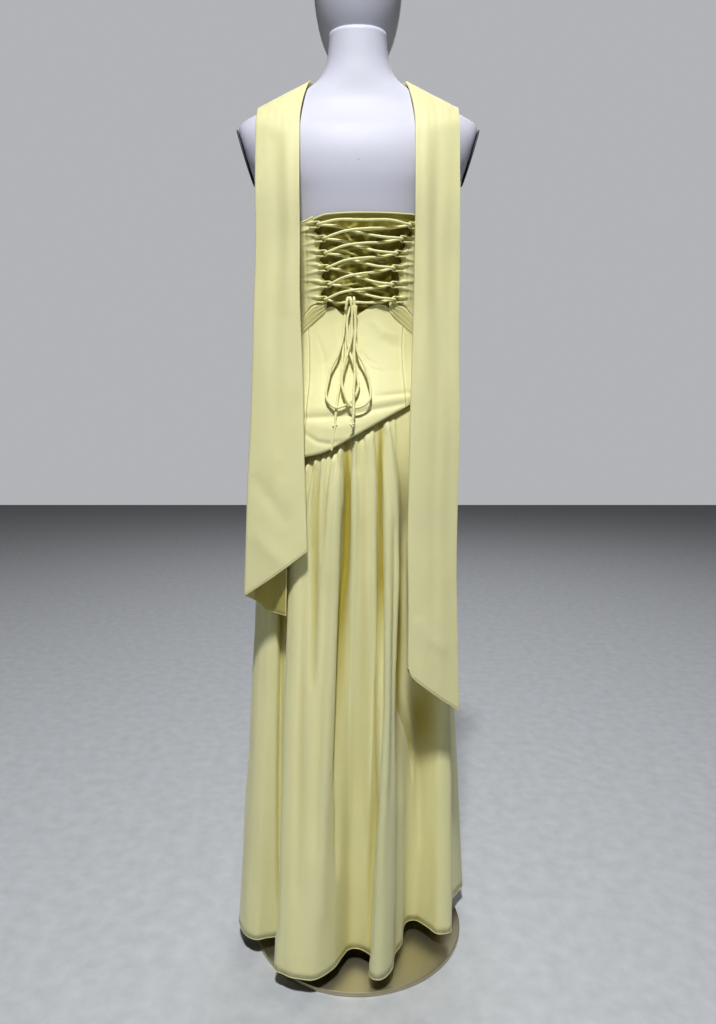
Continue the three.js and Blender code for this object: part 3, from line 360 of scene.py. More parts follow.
def laced_edge(side, height):
    """Edge of a back panel: it is pulled in at each loop and falls back between two loops."""
    rising = {name: values[::-1] for name, values in LACING.items()}
    tip = along(rising, "height", side_name(side), height)
    gap = np.min([np.abs(row - height) for row in LACING["height"]], axis=0)
    ragged = 1.6 * np.sin(height / 3.1 + side) * np.sin(height / 7.3)
    return tip + side * (mix(SCALLOP["near"], SCALLOP["far"], smooth(gap / SCALLOP["reach"])) + ragged)


def side_name(side):
    return "left" if side < 0 else "right"


def slant_height(across):
    past = np.maximum(SLANT["bend"] - across, 0)
    return SLANT["middle"] + SLANT["rise"] * across + SLANT["ease"] * past**1.5


def seam_height(angle):
    """Height at which the slanted lower edge of the yoke crosses a direction round the body."""
    height = np.full(np.shape(angle), float(SLANT["middle"]))
    for _ in range(12):
        height = slant_height(on_form(angle, height, 4)[..., 0])
    return height


def yoke_top(angle):
    across = on_form(angle, WAIST["back"])[..., 0]
    plain = waist_height(angle) - SEAM_GAP
    shaped = np.minimum(along(YOKE_TOP, "across", "height", across), plain)
    shaped = mix(shaped, plain, smooth((np.abs(across) - YOKE_DIP["from"]) / YOKE_DIP["run"]))
    return np.where(round_share(angle) > 0.5, plain, shaped)


def form_depth(across, height, face):
    """Depth of the form at a distance across, or nothing where the form is narrower."""
    share = np.abs(across) / along(FORM, "height", "half", height)
    deep = along(FORM, "height", face, height)
    return np.where(share >= 1, 0, deep * (1 - np.minimum(share, 1) ** SECTION_POWER) ** (1 / SECTION_POWER))


def shoulder_top(across, depth, face):
    """Highest place of the shoulder at a distance across and a depth."""
    heights = np.arange(1500, 1344, -1.0)
    inside = form_depth(across, heights, face) > depth
    return heights[np.argmax(inside)] if inside.any() else heights[-1]


def deepest(across, face):
    return form_depth(across, np.arange(1345.0, 1480.0, 5.0), face).max()


# ---- Cloth, tubes and meshes ---------------------------------------------------------------


def shares(name):
    """Shares across and down at each step of a sheet's grid."""
    across, down = CLOTH_STEPS[name]
    return np.linspace(0, 1, across + 1)[None, :], np.linspace(0, 1, down + 1)[:, None]


def normals(points):
    """Directions out of a grid of points, away from the middle of the body."""
    across, down = np.gradient(points, axis=1), np.gradient(points, axis=0)
    normal = np.cross(down, across)
    normal /= np.maximum(np.linalg.norm(normal, axis=-1, keepdims=True), 1e-9)
    outward = (normal[..., :2] * points[..., :2]).sum() > 0
    return normal if outward else -normal


def displaced(points, field):
    return points + normals(points) * np.asarray(field)[..., None]


def creases(across, height, lines):
    """Soft ridges, or troughs where the rise is below nothing, along bent lines that taper at both ends."""
    across, height = np.broadcast_arrays(across, height)
    field = np.zeros(across.shape)
    for rise, width, line in lines:
        line = np.array(line, float)
        run = lengths(line)
        nearest = np.full(across.shape, np.inf)
        place = np.zeros(across.shape)
        for (ax, az), (bx, bz), start, end in zip(line, line[1:], run, run[1:]):
            t = ((across - ax) * (bx - ax) + (height - az) * (bz - az)) / (end - start) ** 2
            t = np.clip(t, 0, 1)
            distance = np.hypot(across - mix(ax, bx, t), height - mix(az, bz, t))
            place = np.where(distance < nearest, mix(start, end, t) / run[-1], place)
            nearest = np.minimum(nearest, distance)
        field += rise * bell(nearest, width) * np.sqrt(np.clip(4 * place * (1 - place), 0, 1))
    return field


def hollows(points, reach_across, full):
    """How each point of a grid lies beside those across from it, from -1 in a deep fold to 1 on a high one."""
    radius = np.hypot(points[..., 0], points[..., 1])
    weights = bell(np.arange(-reach_across, reach_across + 1), reach_across / 2)
    weights /= weights.sum()
    padded = np.pad(radius, ((0, 0), (reach_across, reach_across)), mode="edge")
    level = np.array([np.convolve(row, weights, mode="valid") for row in padded])
    return np.clip((radius - level) / full, -1, 1)


def clear_of_form(points, gap):
    """Points moved out from the upright axis where they would lie within a gap of the form."""
    radius = np.hypot(points[..., 0], points[..., 1])
    angle = np.degrees(np.arctan2(points[..., 0], -points[..., 1]))
    least = np.where(points[..., 2] > FORM_BOTTOM - 10, reach(angle, points[..., 2]) + gap, 0)
    grown = np.maximum(1, least / radius)[..., None]
    return np.concatenate([points[..., :2] * grown, points[..., 2:]], axis=-1)


def ripples(u, v, size, seed):
    """Soft uneven waves between -1 and 1 over a sheet, from a few sines of fixed random directions."""
    draw = np.random.default_rng(seed)
    field = 0
    for _ in range(7):
        turn, phase, scale = draw.uniform(0, np.pi), draw.uniform(0, 2 * np.pi), draw.uniform(0.6, 1.6)
        field = field + np.sin(2 * np.pi * scale * (u * np.cos(turn) + v * np.sin(turn)) / size + phase)
    return field / 4


def add_object(name, points, faces, material, uvs=None):
    """A smooth mesh object that rides on the body. Points are in millimetres and UVs in metres of cloth."""
    mesh = bpy.data.meshes.new(name)
    mesh.from_pydata((np.asarray(points) * MM).tolist(), [], [list(face) for face in faces])
    mesh.polygons.foreach_set("use_smooth", np.ones(len(mesh.polygons), bool))
    if uvs is not None:
        corner = np.empty(len(mesh.loops), int)
        mesh.loops.foreach_get("vertex_index", corner)
        mesh.uv_layers.new(name="cloth").data.foreach_set("uv", np.asarray(uvs)[corner].ravel())
    mesh.materials.append(material)
    mesh.update()
    made = bpy.data.objects.new(name, mesh)
    bpy.context.collection.objects.link(made)
    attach(made, BODY)
    return made


def grid_faces(rows, count, closed=False):
    """Quads of a grid of points, closed across where it goes all the way round."""
    r, c = np.meshgrid(np.arange(rows - 1), np.arange(count if closed else count - 1), indexing="ij")
    right = (c + 1) % count
    quads = [r * count + c, (r + 1) * count + c, (r + 1) * count + right, r * count + right]
    return np.stack(quads, axis=-1).reshape(-1, 4)


def cloth_uvs(points):
    """Lengths of cloth across and down, in metres."""
    across = np.cumsum(np.linalg.norm(np.diff(points, axis=1, prepend=points[:, :1]), axis=-1), axis=1)
    down = np.cumsum(np.linalg.norm(np.diff(points, axis=0, prepend=points[:1]), axis=-1), axis=0)
    return np.stack([across, down], axis=-1).reshape(-1, 2) * MM


def flat_size(points):
    """Width, length and area of a sheet laid flat, in metres."""
    uvs = cloth_uvs(points).reshape(points.shape[0], points.shape[1], 2)
    a, b = np.diff(points, axis=0)[:, :-1], np.diff(points, axis=1)[:-1]
    area = np.linalg.norm(np.cross(a, b), axis=-1).sum() * MM * MM
    return uvs[:, -1, 0].max(), uvs[-1, :, 1].max(), area


def add_sheet(name, points, material, wall, nodes, folds=None):
    """A sheet of cloth through a grid of points, with a wall.

    Folds, from -1 deep in one to 1 on its back, are kept on its points for painted shade in its colour.
    """
    rows, count = points.shape[:2]
    made = add_object(name, points.reshape(-1, 3), grid_faces(rows, count), material, cloth_uvs(points))
    if folds is not None:
        kept = made.data.attributes.new("fold", "FLOAT", "POINT")
        kept.data.foreach_set("value", np.broadcast_to(folds, points.shape[:2]).ravel().astype(np.float32))
    shell = made.modifiers.new("wall", "SOLIDIFY")
    shell.thickness, shell.offset = wall, 0
    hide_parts(*nodes)
    width, length, area = flat_size(points)
    box = max(width * length, area)
    box / width
    max(area, 0.3 * box)
    return made


# Where the rings of a tube's round end stand, as shares of its radius past the end.
TUBE_CAP = (0.35, 0.7, 0.97)


def tube_rings(route, radius, sides, squash=1.0):
    """Rings of a tube along a route, with round ends. Squash flattens it one way."""
    route = np.asarray(route, float)
    radius = np.broadcast_to(radius, len(route)).astype(float)
    run = np.gradient(route, axis=0)
    run /= np.linalg.norm(run, axis=-1, keepdims=True)
    turns = np.linspace(0, 2 * np.pi, sides, endpoint=False)
    up = np.cross(run[0], (0.3, -0.5, 1.0))
    rings = []
    for i, (point, way) in enumerate(zip(route, run)):
        up = up - way * (up @ way)
        up /= np.linalg.norm(up)
        side = np.cross(way, up)
        shape = np.outer(np.cos(turns) * squash, up) + np.outer(np.sin(turns), side)
        cap = [(s * squash, np.sqrt(1 - s * s)) for s in TUBE_CAP]
        if i == 0:
            rings += [point - radius[i] * (way * out - shape * wide) for out, wide in cap[::-1]]
        rings.append(point + shape * radius[i])
        if i == len(route) - 1:
            rings += [point + radius[i] * (way * out + shape * wide) for out, wide in cap]
    return np.array(rings)


def tube_mesh(rings):
    """Points, faces and UVs of a tube from its rings, closed at both ends."""
    rows, sides = rings.shape[:2]
    faces = [list(face) for face in grid_faces(rows, sides, closed=True)]
    faces += [list(range(sides)), list(range((rows - 1) * sides, rows * sides))[::-1]]
    return rings.reshape(-1, 3), faces, cloth_uvs(rings)


def add_meshes(name, parts, material):
    """One object from several meshes, each with points, faces and UVs."""
    points, faces, uvs, start = [], [], [], 0
    for part_points, part_faces, part_uvs in parts:
        points.append(part_points)
        uvs.append(part_uvs)
        faces += [[i + start for i in face] for face in part_faces]
        start += len(part_points)
    return add_object(name, np.concatenate(points), faces, material, np.concatenate(uvs))


def rouleau(points, step, radius):
    """A narrow tube of turned cloth along a curve through points. Its width wanders a little."""
    route = curve(points, step)
    run = lengths(route)
    wander = 1 + 0.05 * np.sin(run / 3.1) + 0.035 * np.sin(run / 1.27 + 1.3)
    return tube_mesh(tube_rings(route, radius * wander, TUBE_SIDES))


def satin_object(name, parts, material, *nodes):
    """One satin object from several meshes, in place of the nodes named."""
    made = add_meshes(name, parts, material)
    if nodes:
        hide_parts(*nodes)
    return made


# Points and faces of one stitch, for half its length and width and its whole height.
STITCH = np.array([(-1, 0, 0), (-0.6, 0.5, 0.4), (-0.6, -0.5, 0.4), (-0.6, 0, 1), (0.6, 0.5, 0.4),
                   (0.6, -0.5, 0.4), (0.6, 0, 1), (1, 0, 0)])
STITCH_FACES = [(0, 1, 3), (0, 3, 2), (1, 4, 6, 3), (3, 6, 5, 2), (7, 6, 4), (7, 5, 6)]


def stitch_mesh(route, out, pitch, length, width, height):
    """A row of stitches along a route, standing on the cloth whose directions out are given."""
    run = lengths(route)
    places = np.arange(pitch / 2, run[-1], pitch)
    spots = np.stack([np.interp(places, run, route[:, i]) for i in range(3)], axis=-1)
    way = np.stack([np.interp(places, run, np.gradient(route, run, axis=0)[:, i]) for i in range(3)], axis=-1)
    up = np.stack([np.interp(places, run, out[:, i]) for i in range(3)], axis=-1)
    way /= np.linalg.norm(way, axis=-1, keepdims=True)
    up /= np.linalg.norm(up, axis=-1, keepdims=True)
    side = np.cross(way, up)
    half = STITCH * (length / 2, width / 2, height)
    points = (spots[:, None] + half[:, 0, None] * way[:, None] + half[:, 1, None] * side[:, None]
              + half[:, 2, None] * up[:, None]).reshape(-1, 3)
    faces = [[corner + len(STITCH) * i for corner in face]
             for i in range(len(places)) for face in STITCH_FACES]
    return points, faces, np.zeros((len(points), 2))


# ---- Materials -------------------------------------------------------------------------------


class Shade:
    """A socket of a material's node tree. Its operators add Math nodes."""

    def __init__(self, tree, socket=None):
        self.tree = tree
        self.socket = socket

    def node(self, kind, settings=(), inputs=(), output=0):
        """Adds a node: its settings first, then the values or links of its sockets."""
        made = self.tree.nodes.new(kind)
        for name, value in dict(settings).items():
            if name == "stops":
                ramp = made.color_ramp
                while len(ramp.elements) < len(value):
                    ramp.elements.new(0.5)
                for element, (place, colour) in zip(ramp.elements, value):
                    element.position = place
                    element.color = colour
            else:
                setattr(made, name, value)
        for name, value in dict(inputs).items():
            if isinstance(value, Shade):
                self.tree.links.new(value.socket, made.inputs[name])
            else:
                made.inputs[name].default_value = value
        return Shade(self.tree, made.outputs[output] if made.outputs else None)

    def math(self, operation, *values, clamp=False):
        settings = {"operation": operation, "use_clamp": clamp}
        return self.node("ShaderNodeMath", settings, dict(enumerate(values)))

    def __add__(self, other):
        return self.math("ADD", self, other)

    def __radd__(self, other):
        return self.math("ADD", other, self)

    def __sub__(self, other):
        return self.math("SUBTRACT", self, other)

    def __rsub__(self, other):
        return self.math("SUBTRACT", other, self)

    def __mul__(self, other):
        return self.math("MULTIPLY", self, other)

    def __rmul__(self, other):
        return self.math("MULTIPLY", other, self)

    def sine(self):
        return self.math("SINE", self)

    def clamped(self):
        return self.math("ADD", self, 0.0, clamp=True)

    def tint(self, low, high):
        """A colour between two by this value."""
        return self.node("ShaderNodeMix", {"data_type": "RGBA"}, {0: self, 6: low, 7: high}, output=2)


def noise(shade, place, scale, detail=3.0, roughness=0.55):
    inputs = {"Vector": place, "Scale": scale, "Detail": detail, "Roughness": roughness}
    return shade.node("ShaderNodeTexNoise", {}, inputs)


def new_material(name, surface, **constants):
    """A material with one Principled shader. surface gives its varying sockets, and the bump's height."""
    made = bpy.data.materials.new(name)
    made.use_nodes = True
    tree = made.node_tree
    tree.nodes.clear()
    shade = Shade(tree)
    varying = surface(shade)
    height, depth = varying.pop("Height"), varying.pop("Depth")
    bump = shade.node("ShaderNodeBump", {}, {"Strength": 1.0, "Distance": depth, "Height": height})
    inputs = {name.replace("_", " "): value for name, value in constants.items()}
    shader = shade.node("ShaderNodeBsdfPrincipled", {}, {**inputs, **varying, "Normal": bump})
    shade.node("ShaderNodeOutputMaterial", {}, {"Surface": shader})
    return made


def scaled(colour, factor):
    return (*(min(c * factor, 1.0) for c in colour[:3]), 1.0)


# Distance between the weave's threads, in metres.
THREAD_PITCH = 0.0006


def satin(name, colour, warm, ridge, painted_fold_shade, rib=1.0):
    """Matt satin: a fine slanting weave and faint slubs, with painted shade: cooler and darker on a fold's
    back, deeper and darker inside it.
    """

    def surface(shade):
        uv = shade.node("ShaderNodeUVMap", {"uv_map": "cloth"})
        place = shade.node("ShaderNodeTexCoord", {}, output=3)
        u, v = (shade.node("ShaderNodeSeparateXYZ", {}, {0: uv}, output=i) for i in (0, 1))
        threads = 2 * np.pi / THREAD_PITCH
        twill = ((u * threads + v * threads * 1.7).sine() + (u * threads * 1.9).sine() * 0.4) * (0.5 * rib)
        slubs = noise(shade, place, 900.0, 2.0)
        cloud = noise(shade, place, 9.0, 3.0)
        tone = (cloud * 0.75 + slubs * 0.2 + twill * 0.05 + 0.02).clamped()
        # Painted shade: the fold value kept on the points darkens the cloth towards the ridge colour on a
        # fold's back and towards the fold shade colour inside a fold.
        fold = shade.node("ShaderNodeAttribute", {"attribute_name": "fold"}, output=2)
        inside, ridge_shade_mask = (fold * -1.0).clamped(), (fold * 1.0).clamped()
        ridge_shaded = ridge_shade_mask.tint(tone.tint(warm, colour), ridge)
        return {
            "Base Color": inside.tint(ridge_shaded, painted_fold_shade),
            "Roughness": cloud * 0.12 + slubs * 0.1 + 0.36,
            "Height": twill * 0.35 + slubs * 0.6 + noise(shade, place, 60.0, 2.0) * 2.5,
            "Depth": 0.00012,
        }

    return new_material(name, surface, Sheen_Weight=0.25, Sheen_Roughness=0.4, Specular_IOR_Level=0.35)


# Middle of the filled hole, in metres.
FORM_HOLE = (0.0005, -0.0955, 1.3585)


def shell_plastic(name, colour):
    """Sprayed shell of the dress form: a faint orange peel, and a small filled hole in its back."""

    def surface(shade):
        place = shade.node("ShaderNodeTexCoord", {}, output=3)
        hole = shade.node("ShaderNodeVectorMath", {"operation": "DISTANCE"},
                          {0: place, 1: FORM_HOLE}, output=1)
        mark = (1.0 - hole * 420.0).clamped()
        cloud = noise(shade, place, 6.0, 3.0)
        peel = noise(shade, place, 420.0, 2.0)
        tone = (cloud * 0.5 + peel * 0.1 + 0.2 + mark * -0.9).clamped()
        return {
            "Base Color": tone.tint(scaled(colour, 0.82), colour),
            "Roughness": cloud * 0.12 + 0.46 + mark * 0.2,
            "Height": peel - mark * 6.0,
            "Depth": 0.00006,
        }

    return new_material(name, surface, Specular_IOR_Level=0.35)


def steel(name, colour, roughness):
    """Polished steel with faint wiping marks."""

    def surface(shade):
        place = shade.node("ShaderNodeTexCoord", {}, output=3)
        smear = noise(shade, place, 14.0, 4.0)
        grain = noise(shade, place, 260.0, 3.0)
        return {
            "Base Color": smear.tint(scaled(colour, 0.86), colour),
            "Roughness": smear * 0.1 + grain * 0.05 + roughness,
            "Height": grain,
            "Depth": 0.00002,
        }

    return new_material(name, surface, Metallic=1.0)


def dull_plastic(name, colour):
    """Moulded matt plastic with a fine grain."""

    def surface(shade):
        place = shade.node("ShaderNodeTexCoord", {}, output=3)
        grain = noise(shade, place, 700.0, 3.0)
        cloud = noise(shade, place, 30.0, 2.0)
        tone = (cloud * 0.6 + grain * 0.3).clamped()
        return {
            "Base Color": tone.tint(scaled(colour, 0.75), scaled(colour, 1.2)),
            "Roughness": grain * 0.2 + 0.45,
            "Height": grain,
            "Depth": 0.0001,
        }

    return new_material(name, surface)


def finish_of(context, name):
    """The material of that name, made from the colours in the sidebar the first time it is asked for."""
    if name in bpy.data.materials:
        return bpy.data.materials[name]
    colours = context.scene.dress_colours
    cloth = tuple(colours.satin), tuple(colours.satin_warm)
    # Painted shade colours for the backs and the insides of folds.
    folds = tuple(colours.ridge), tuple(colours.painted_fold_shade)
    panel = tuple(colours.panel)
    makers = {
        "dress_satin": lambda: satin(name, *cloth, *folds),
        "scarf_satin": lambda: satin(name, tuple(colours.scarf), cloth[1], *folds, 0.7),
        # The panel satin is painted shade: a dark olive copy of the dress satin.
        "painted_shade_panel_satin": lambda: satin(name, panel, scaled(panel, 0.75), panel, tuple(colours.panel_painted_shade)),
        "lace_satin": lambda: satin(name, tuple(colours.lace), cloth[0], *folds, 0.5),
        "form_lacquer": lambda: shell_plastic(name, tuple(colours.form)),
        "socket_plastic": lambda: dull_plastic(name, tuple(colours.socket)),
        "stand_mirror": lambda: steel(name, tuple(colours.steel), 0.36),
        "stand_pole_steel": lambda: steel(name, tuple(colours.steel), 0.16),
        "studio_floor": lambda: dull_plastic(name, tuple(colours.floor)),
    }
    return makers[name]()


# ---- Properties --------------------------------------------------------------------------------


def colour_property(name, description, default):
    return FloatVectorProperty(name=name, description=description, default=(*default, 1.0), size=4, min=0,
                               max=1, subtype="COLOR")


def place_property(name, description, default):
    return FloatVectorProperty(name=name, description=description, default=default, subtype="XYZ",
                               unit="LENGTH")


def power_property(name, description, default):
    return FloatProperty(name=name, description=description, default=default, min=0, unit="POWER")


def length_property(name, description, default):
    return FloatProperty(name=name, description=description, default=default, min=0, unit="LENGTH",
                         subtype="DISTANCE", precision=4)


class DressSizes(bpy.types.PropertyGroup):
    """Sizes of the cloth and its trimmings."""

    wall: length_property("Dress cloth", "Thickness of the dress cloth", 0.0012)
    scarf_wall: length_property("Scarf cloth", "Thickness of the scarf cloth", 0.0010)
    hem: length_property("Hem roll", "Radius of the narrow rolled hems", 0.0011)
    stitch: length_property("Stitch pitch", "Distance from one stitch to the next", 0.0028)


class DressColours(bpy.types.PropertyGroup):
    """Colours of the dress, the form and the studio."""

    satin: colour_property("Satin", "Dress cloth", (0.83, 0.81, 0.48))
    satin_warm: colour_property("Satin, warm", "Dress cloth where its tone is deeper", (0.78, 0.75, 0.39))
    scarf: colour_property("Scarf", "Scarf cloth", (0.75, 0.735, 0.45))
    # The panel's dark olive is painted shade: the same satin drawn dark where the laced panels and strands
    # shade it. Its second colour is painted shade deeper in its folds.
    panel: colour_property("Panel", "Modesty panel behind the lacing", (0.56, 0.53, 0.15))
    # Ridge and the colour after it are painted shade: cloth on a fold's back drawn darker and cooler, cloth
    # deep inside a fold drawn darker and deeper yellow.
    ridge: colour_property("Ridge", "Dress cloth on the back of a big fold", (0.66, 0.66, 0.39))
    painted_fold_shade: colour_property("Hollow", "Dress cloth deep inside a fold", (0.46, 0.39, 0.07))
    panel_painted_shade: colour_property("Panel hollow", "Modesty panel deep inside a fold", (0.17, 0.14, 0.006))
    lace: colour_property("Lace", "Lace and loops", (0.84, 0.81, 0.42))
    form: colour_property("Form", "Shell of the dress form", (0.66, 0.665, 0.765))
    # The plates are drawn near black: partly their own dark finish, partly painted shade where their faces
    # turn away from the light.
    socket: colour_property("Socket", "Plates where arms would join", (0.06, 0.06, 0.07))
    steel: colour_property("Steel", "Base plate and pole", (0.62, 0.57, 0.42))
    floor: colour_property("Floor", "Studio floor", (0.56, 0.58, 0.61))
    wall: colour_property("Background", "Light from all round", (0.40, 0.405, 0.42))


class DressStudio(bpy.types.PropertyGroup):
    """Camera and lights."""

    lens: FloatProperty(name="Lens", description="Focal length of the camera", default=27.42, min=10,
                        unit="CAMERA")
    place: place_property("Camera place", "Where the camera stands", (0, -1.37, 0.99))
    pitch: FloatProperty(name="Pitch", description="How far the camera looks down", default=np.radians(8.17),
                         subtype="ANGLE")
    key_place: place_property("Key light place", "Where the main light hangs", (-0.12, -2.4, 5.0))
    key_power: power_property("Key light", "Power of the main light", 214)
    key_size: length_property("Key light size", "Width of the main light", 0.4)
    fill_place: place_property("Fill light place", "Where the soft front light stands", (-0.7, -3.0, 0.7))
    fill_power: power_property("Fill light", "Power of the soft front light", 2.5)
    fill_size: length_property("Fill light size", "Width of the soft front light", 1.8)
    back_place: place_property("Back light place", "Where the soft light behind stands", (0.3, 3.0, 3.4))
    back_power: power_property("Back light", "Power of the soft light behind", 36)
    back_size: length_property("Back light size", "Width of the soft light behind", 2.4)
    around: FloatProperty(name="Light from around", description="Strength of the even light from all round",
                          default=0.05, min=0)


# ---- Operators -----------------------------------------------------------------------------------


class MakeCamera(bpy.types.Operator):
    """Sets up the camera in front of the laced back."""

    bl_idname = "dress.camera"
    bl_label = "Camera"

    def execute(self, context):
        studio = context.scene.dress_studio
        camera = bpy.data.cameras.new("dress_camera")
        camera.lens = studio.lens
        placed = bpy.data.objects.new("dress_camera", camera)
        placed.location = studio.place
        placed.rotation_euler = (np.pi / 2 - studio.pitch, 0, 0)
        context.collection.objects.link(placed)
        context.scene.camera = placed
        return {"FINISHED"}


def bow_out(height, layer):
    """How far out from the form a strand of the bow hangs, over the yoke and the layers below it."""
    yoke = YOKE_OUT + 0.8 + (YOKE_EDGE_OUT - YOKE_OUT) * smooth((1138 - height) / 200)
    return yoke + LACE["radius"] + BOW_CLEAR + BOW_LAYER * layer


def end_knot(spot):
    """A small overhand knot pulled tight round a lace."""
    radius, size, sides = 1.5, 1.55, 10
    t = np.linspace(0, 2 * np.pi, 60, endpoint=False)
    ring = [np.sin(t) + 1.1 * np.sin(2 * t), 0.9 * np.sin(3 * t), np.cos(t) - 1.1 * np.cos(2 * t)]
    ring = np.stack(ring, axis=-1)
    return tube_mesh(tube_rings(np.append(ring, ring[:1], axis=0) * size + spot, radius, sides))


class MakeBow(bpy.types.Operator):
    """Makes the hanging bow: two loops and two free ends of the lace, with their small knots."""

    bl_idname = "dress.bow"
    bl_label = "Bow"

    def execute(self, context):
        material = finish_of(context, "lace_satin")
        for name, (layer, points) in BOW.items():
            across, height = np.array(points, float).T
            points = on_back(across, height, bow_out(height, layer))
            made = satin_object(f"{name}_cord", [rouleau(points, STEP["bow"], LACE["radius"])], material, name)
            route = curve(points, STEP["bow"])
            pieces, far_end = [], "object"
            if name in END_KNOTS:
                x, z = END_KNOTS[name]
                spot = on_back(x, z, bow_out(np.float64(z), layer))
                pieces, far_end = [satin_object(f"{name}_end_knot", [end_knot(spot)], material)], "knot"

        parts = []
        for lean, step in KNOT_TURNS:
            x = KNOT["across"] + step
            turn = [(x + lean, 1136, 8.5), (x, 1147, 8), (x - lean, 1152.5, 12.5), (x, 1148.5, 17.4),
                    (x + lean, 1141, 18.4), (x + 2 * lean, 1134, 17.6)]
            parts.append(rouleau(on_back(*np.array(turn).T), STEP["knot"], KNOT_RADIUS["turn"]))
        through = [(KNOT["across"] + a, KNOT["height"] + h, o) for a, h, o in
                   ((-11, -1, 8.4), (-6, -0.4, 9.6), (0, 0, 12.2), (6, -0.4, 9.6), (11, -1, 8.4))]
        parts.append(rouleau(on_back(*np.array(through).T), STEP["knot"], KNOT_RADIUS["through"]))
        satin_object("bow_knot_wrap", parts, material, "bow_knot")
        return {"FINISHED"}


def crossing_route():
    """The lace from the knot up one zigzag, across the top and down the other one."""
    route = []

    def add(across, height, out):
        route.append(on_back(across, height, out))

    def turn_at(side, row, enters_over):
        centre = LACING[side_name(side)][row] + side * LOOP["radius"]
        bend = (LACE["over"] - LACE["under"]) / 2
        for turn in np.radians(BEND_TURNS * (1 if enters_over else -1)):
            add(centre + side * bend * np.cos(turn), LACING["height"][row],
                LACE["under"] + bend * (1 + np.sin(turn)))

    def strand(side, row, after, outs):
        start, end = LACING[side_name(side)][row], LACING[side_name(-side)][after]
        rising = (side < 0) == (after < row)
        bows = (LACE["rise"] if rising else LACE["sag"])[:: 1 if after < row else -1]
        for share, out, bow in zip(STRAND_SHARES, outs, bows):
            add(mix(start, end, share), mix(LACING["height"][row], LACING["height"][after], share) + bow, out)

    def to_knot(side):
        start, end = LACING[side_name(side)][last], KNOT["across"] + side * (KNOT["wide"] + 0.8)
        high, sag = LACING["height"][last], 3
        return [(mix(start, end, s), mix(high, KNOT["height"], s) - sag * np.sin(np.pi * s), mix(7, 8.6, s))
                for s in (0.35, 0.7, 1)]

    last = len(LACING["height"]) - 1
    over, under, high, low = (LACE[key] for key in ("over", "under", "high", "low"))
    for spot in to_knot(1)[::-1]:
        add(*spot)
    side = 1
    for row in range(last, 0, -1):
        turn_at(side, row, False)
        strand(side, row, row - 1, (high, low, under + 0.6) if side > 0 else (over, high, low))
        side = -side
    turn_at(-1, 0, False)
    for share in (0.2, 0.5, 0.8):
        across = mix(LACING["left"][0], LACING["right"][0], share)
        add(across, LACING["height"][0] + 6 - 1.5 * np.sin(np.pi * share), over - 1.5)
    side = 1
    for row in range(last):
        turn_at(side, row, True)
        strand(side, row, row + 1, (low, high, over) if side > 0 else (under + 0.6, low, high))
        side = -side
    turn_at(-1, last, True)
    for spot in to_knot(-1):
        add(*spot)
    return np.array(route)


class MakeLacing(bpy.types.Operator):
    """Makes the loops along both panel edges and the lace that crosses between them."""

    bl_idname = "dress.lacing"
    bl_label = "Lacing"

    def execute(self, context):
        material = finish_of(context, "lace_satin")
        for side in (-1, 1):
            name = side_name(side)
            for i, height in enumerate(LACING["height"]):
                middle = LACING[name][i] + side * (LOOP["radius"] + LOOP["bend"])
                leg, foot = middle + side * LOOP["leg"] * 0.62, LOOP["bend"] * 0.8
                spots = [(leg, height + foot, LOOP["root"])]
                for turn in np.radians(BEND_TURNS):
                    spots.append((middle - side * LOOP["bend"] * np.cos(turn),
                                  height + LOOP["bend"] * np.sin(turn),
                                  LOOP["out"] - 0.5 * (1 - np.cos(turn))))
                spots.append((leg, height - foot, LOOP["root"]))
                node = f"lace_loop_{name}_{i + 1}"
                loop = rouleau(on_back(*np.array(spots).T), STEP["loop"], LOOP["radius"])
                satin_object(f"{node}_rouleau", [loop], material, node)
        lace = rouleau(crossing_route(), STEP["crossing"], LACE["radius"])
        satin_object("lace_crossing_rouleau", [lace], material, "lace_crossing")
        return {"FINISHED"}


def lathe(profile, sides):
    """Points and faces of a round solid. Its profile of radius and height starts and ends on the axis."""
    turns = np.linspace(0, 2 * np.pi, sides, endpoint=False)
    rings = [np.stack([r * np.cos(turns), r * np.sin(turns), np.full(sides, z)], axis=-1) for r, z in profile]
    points, faces, _ = tube_mesh(np.array(rings))
    return points, faces


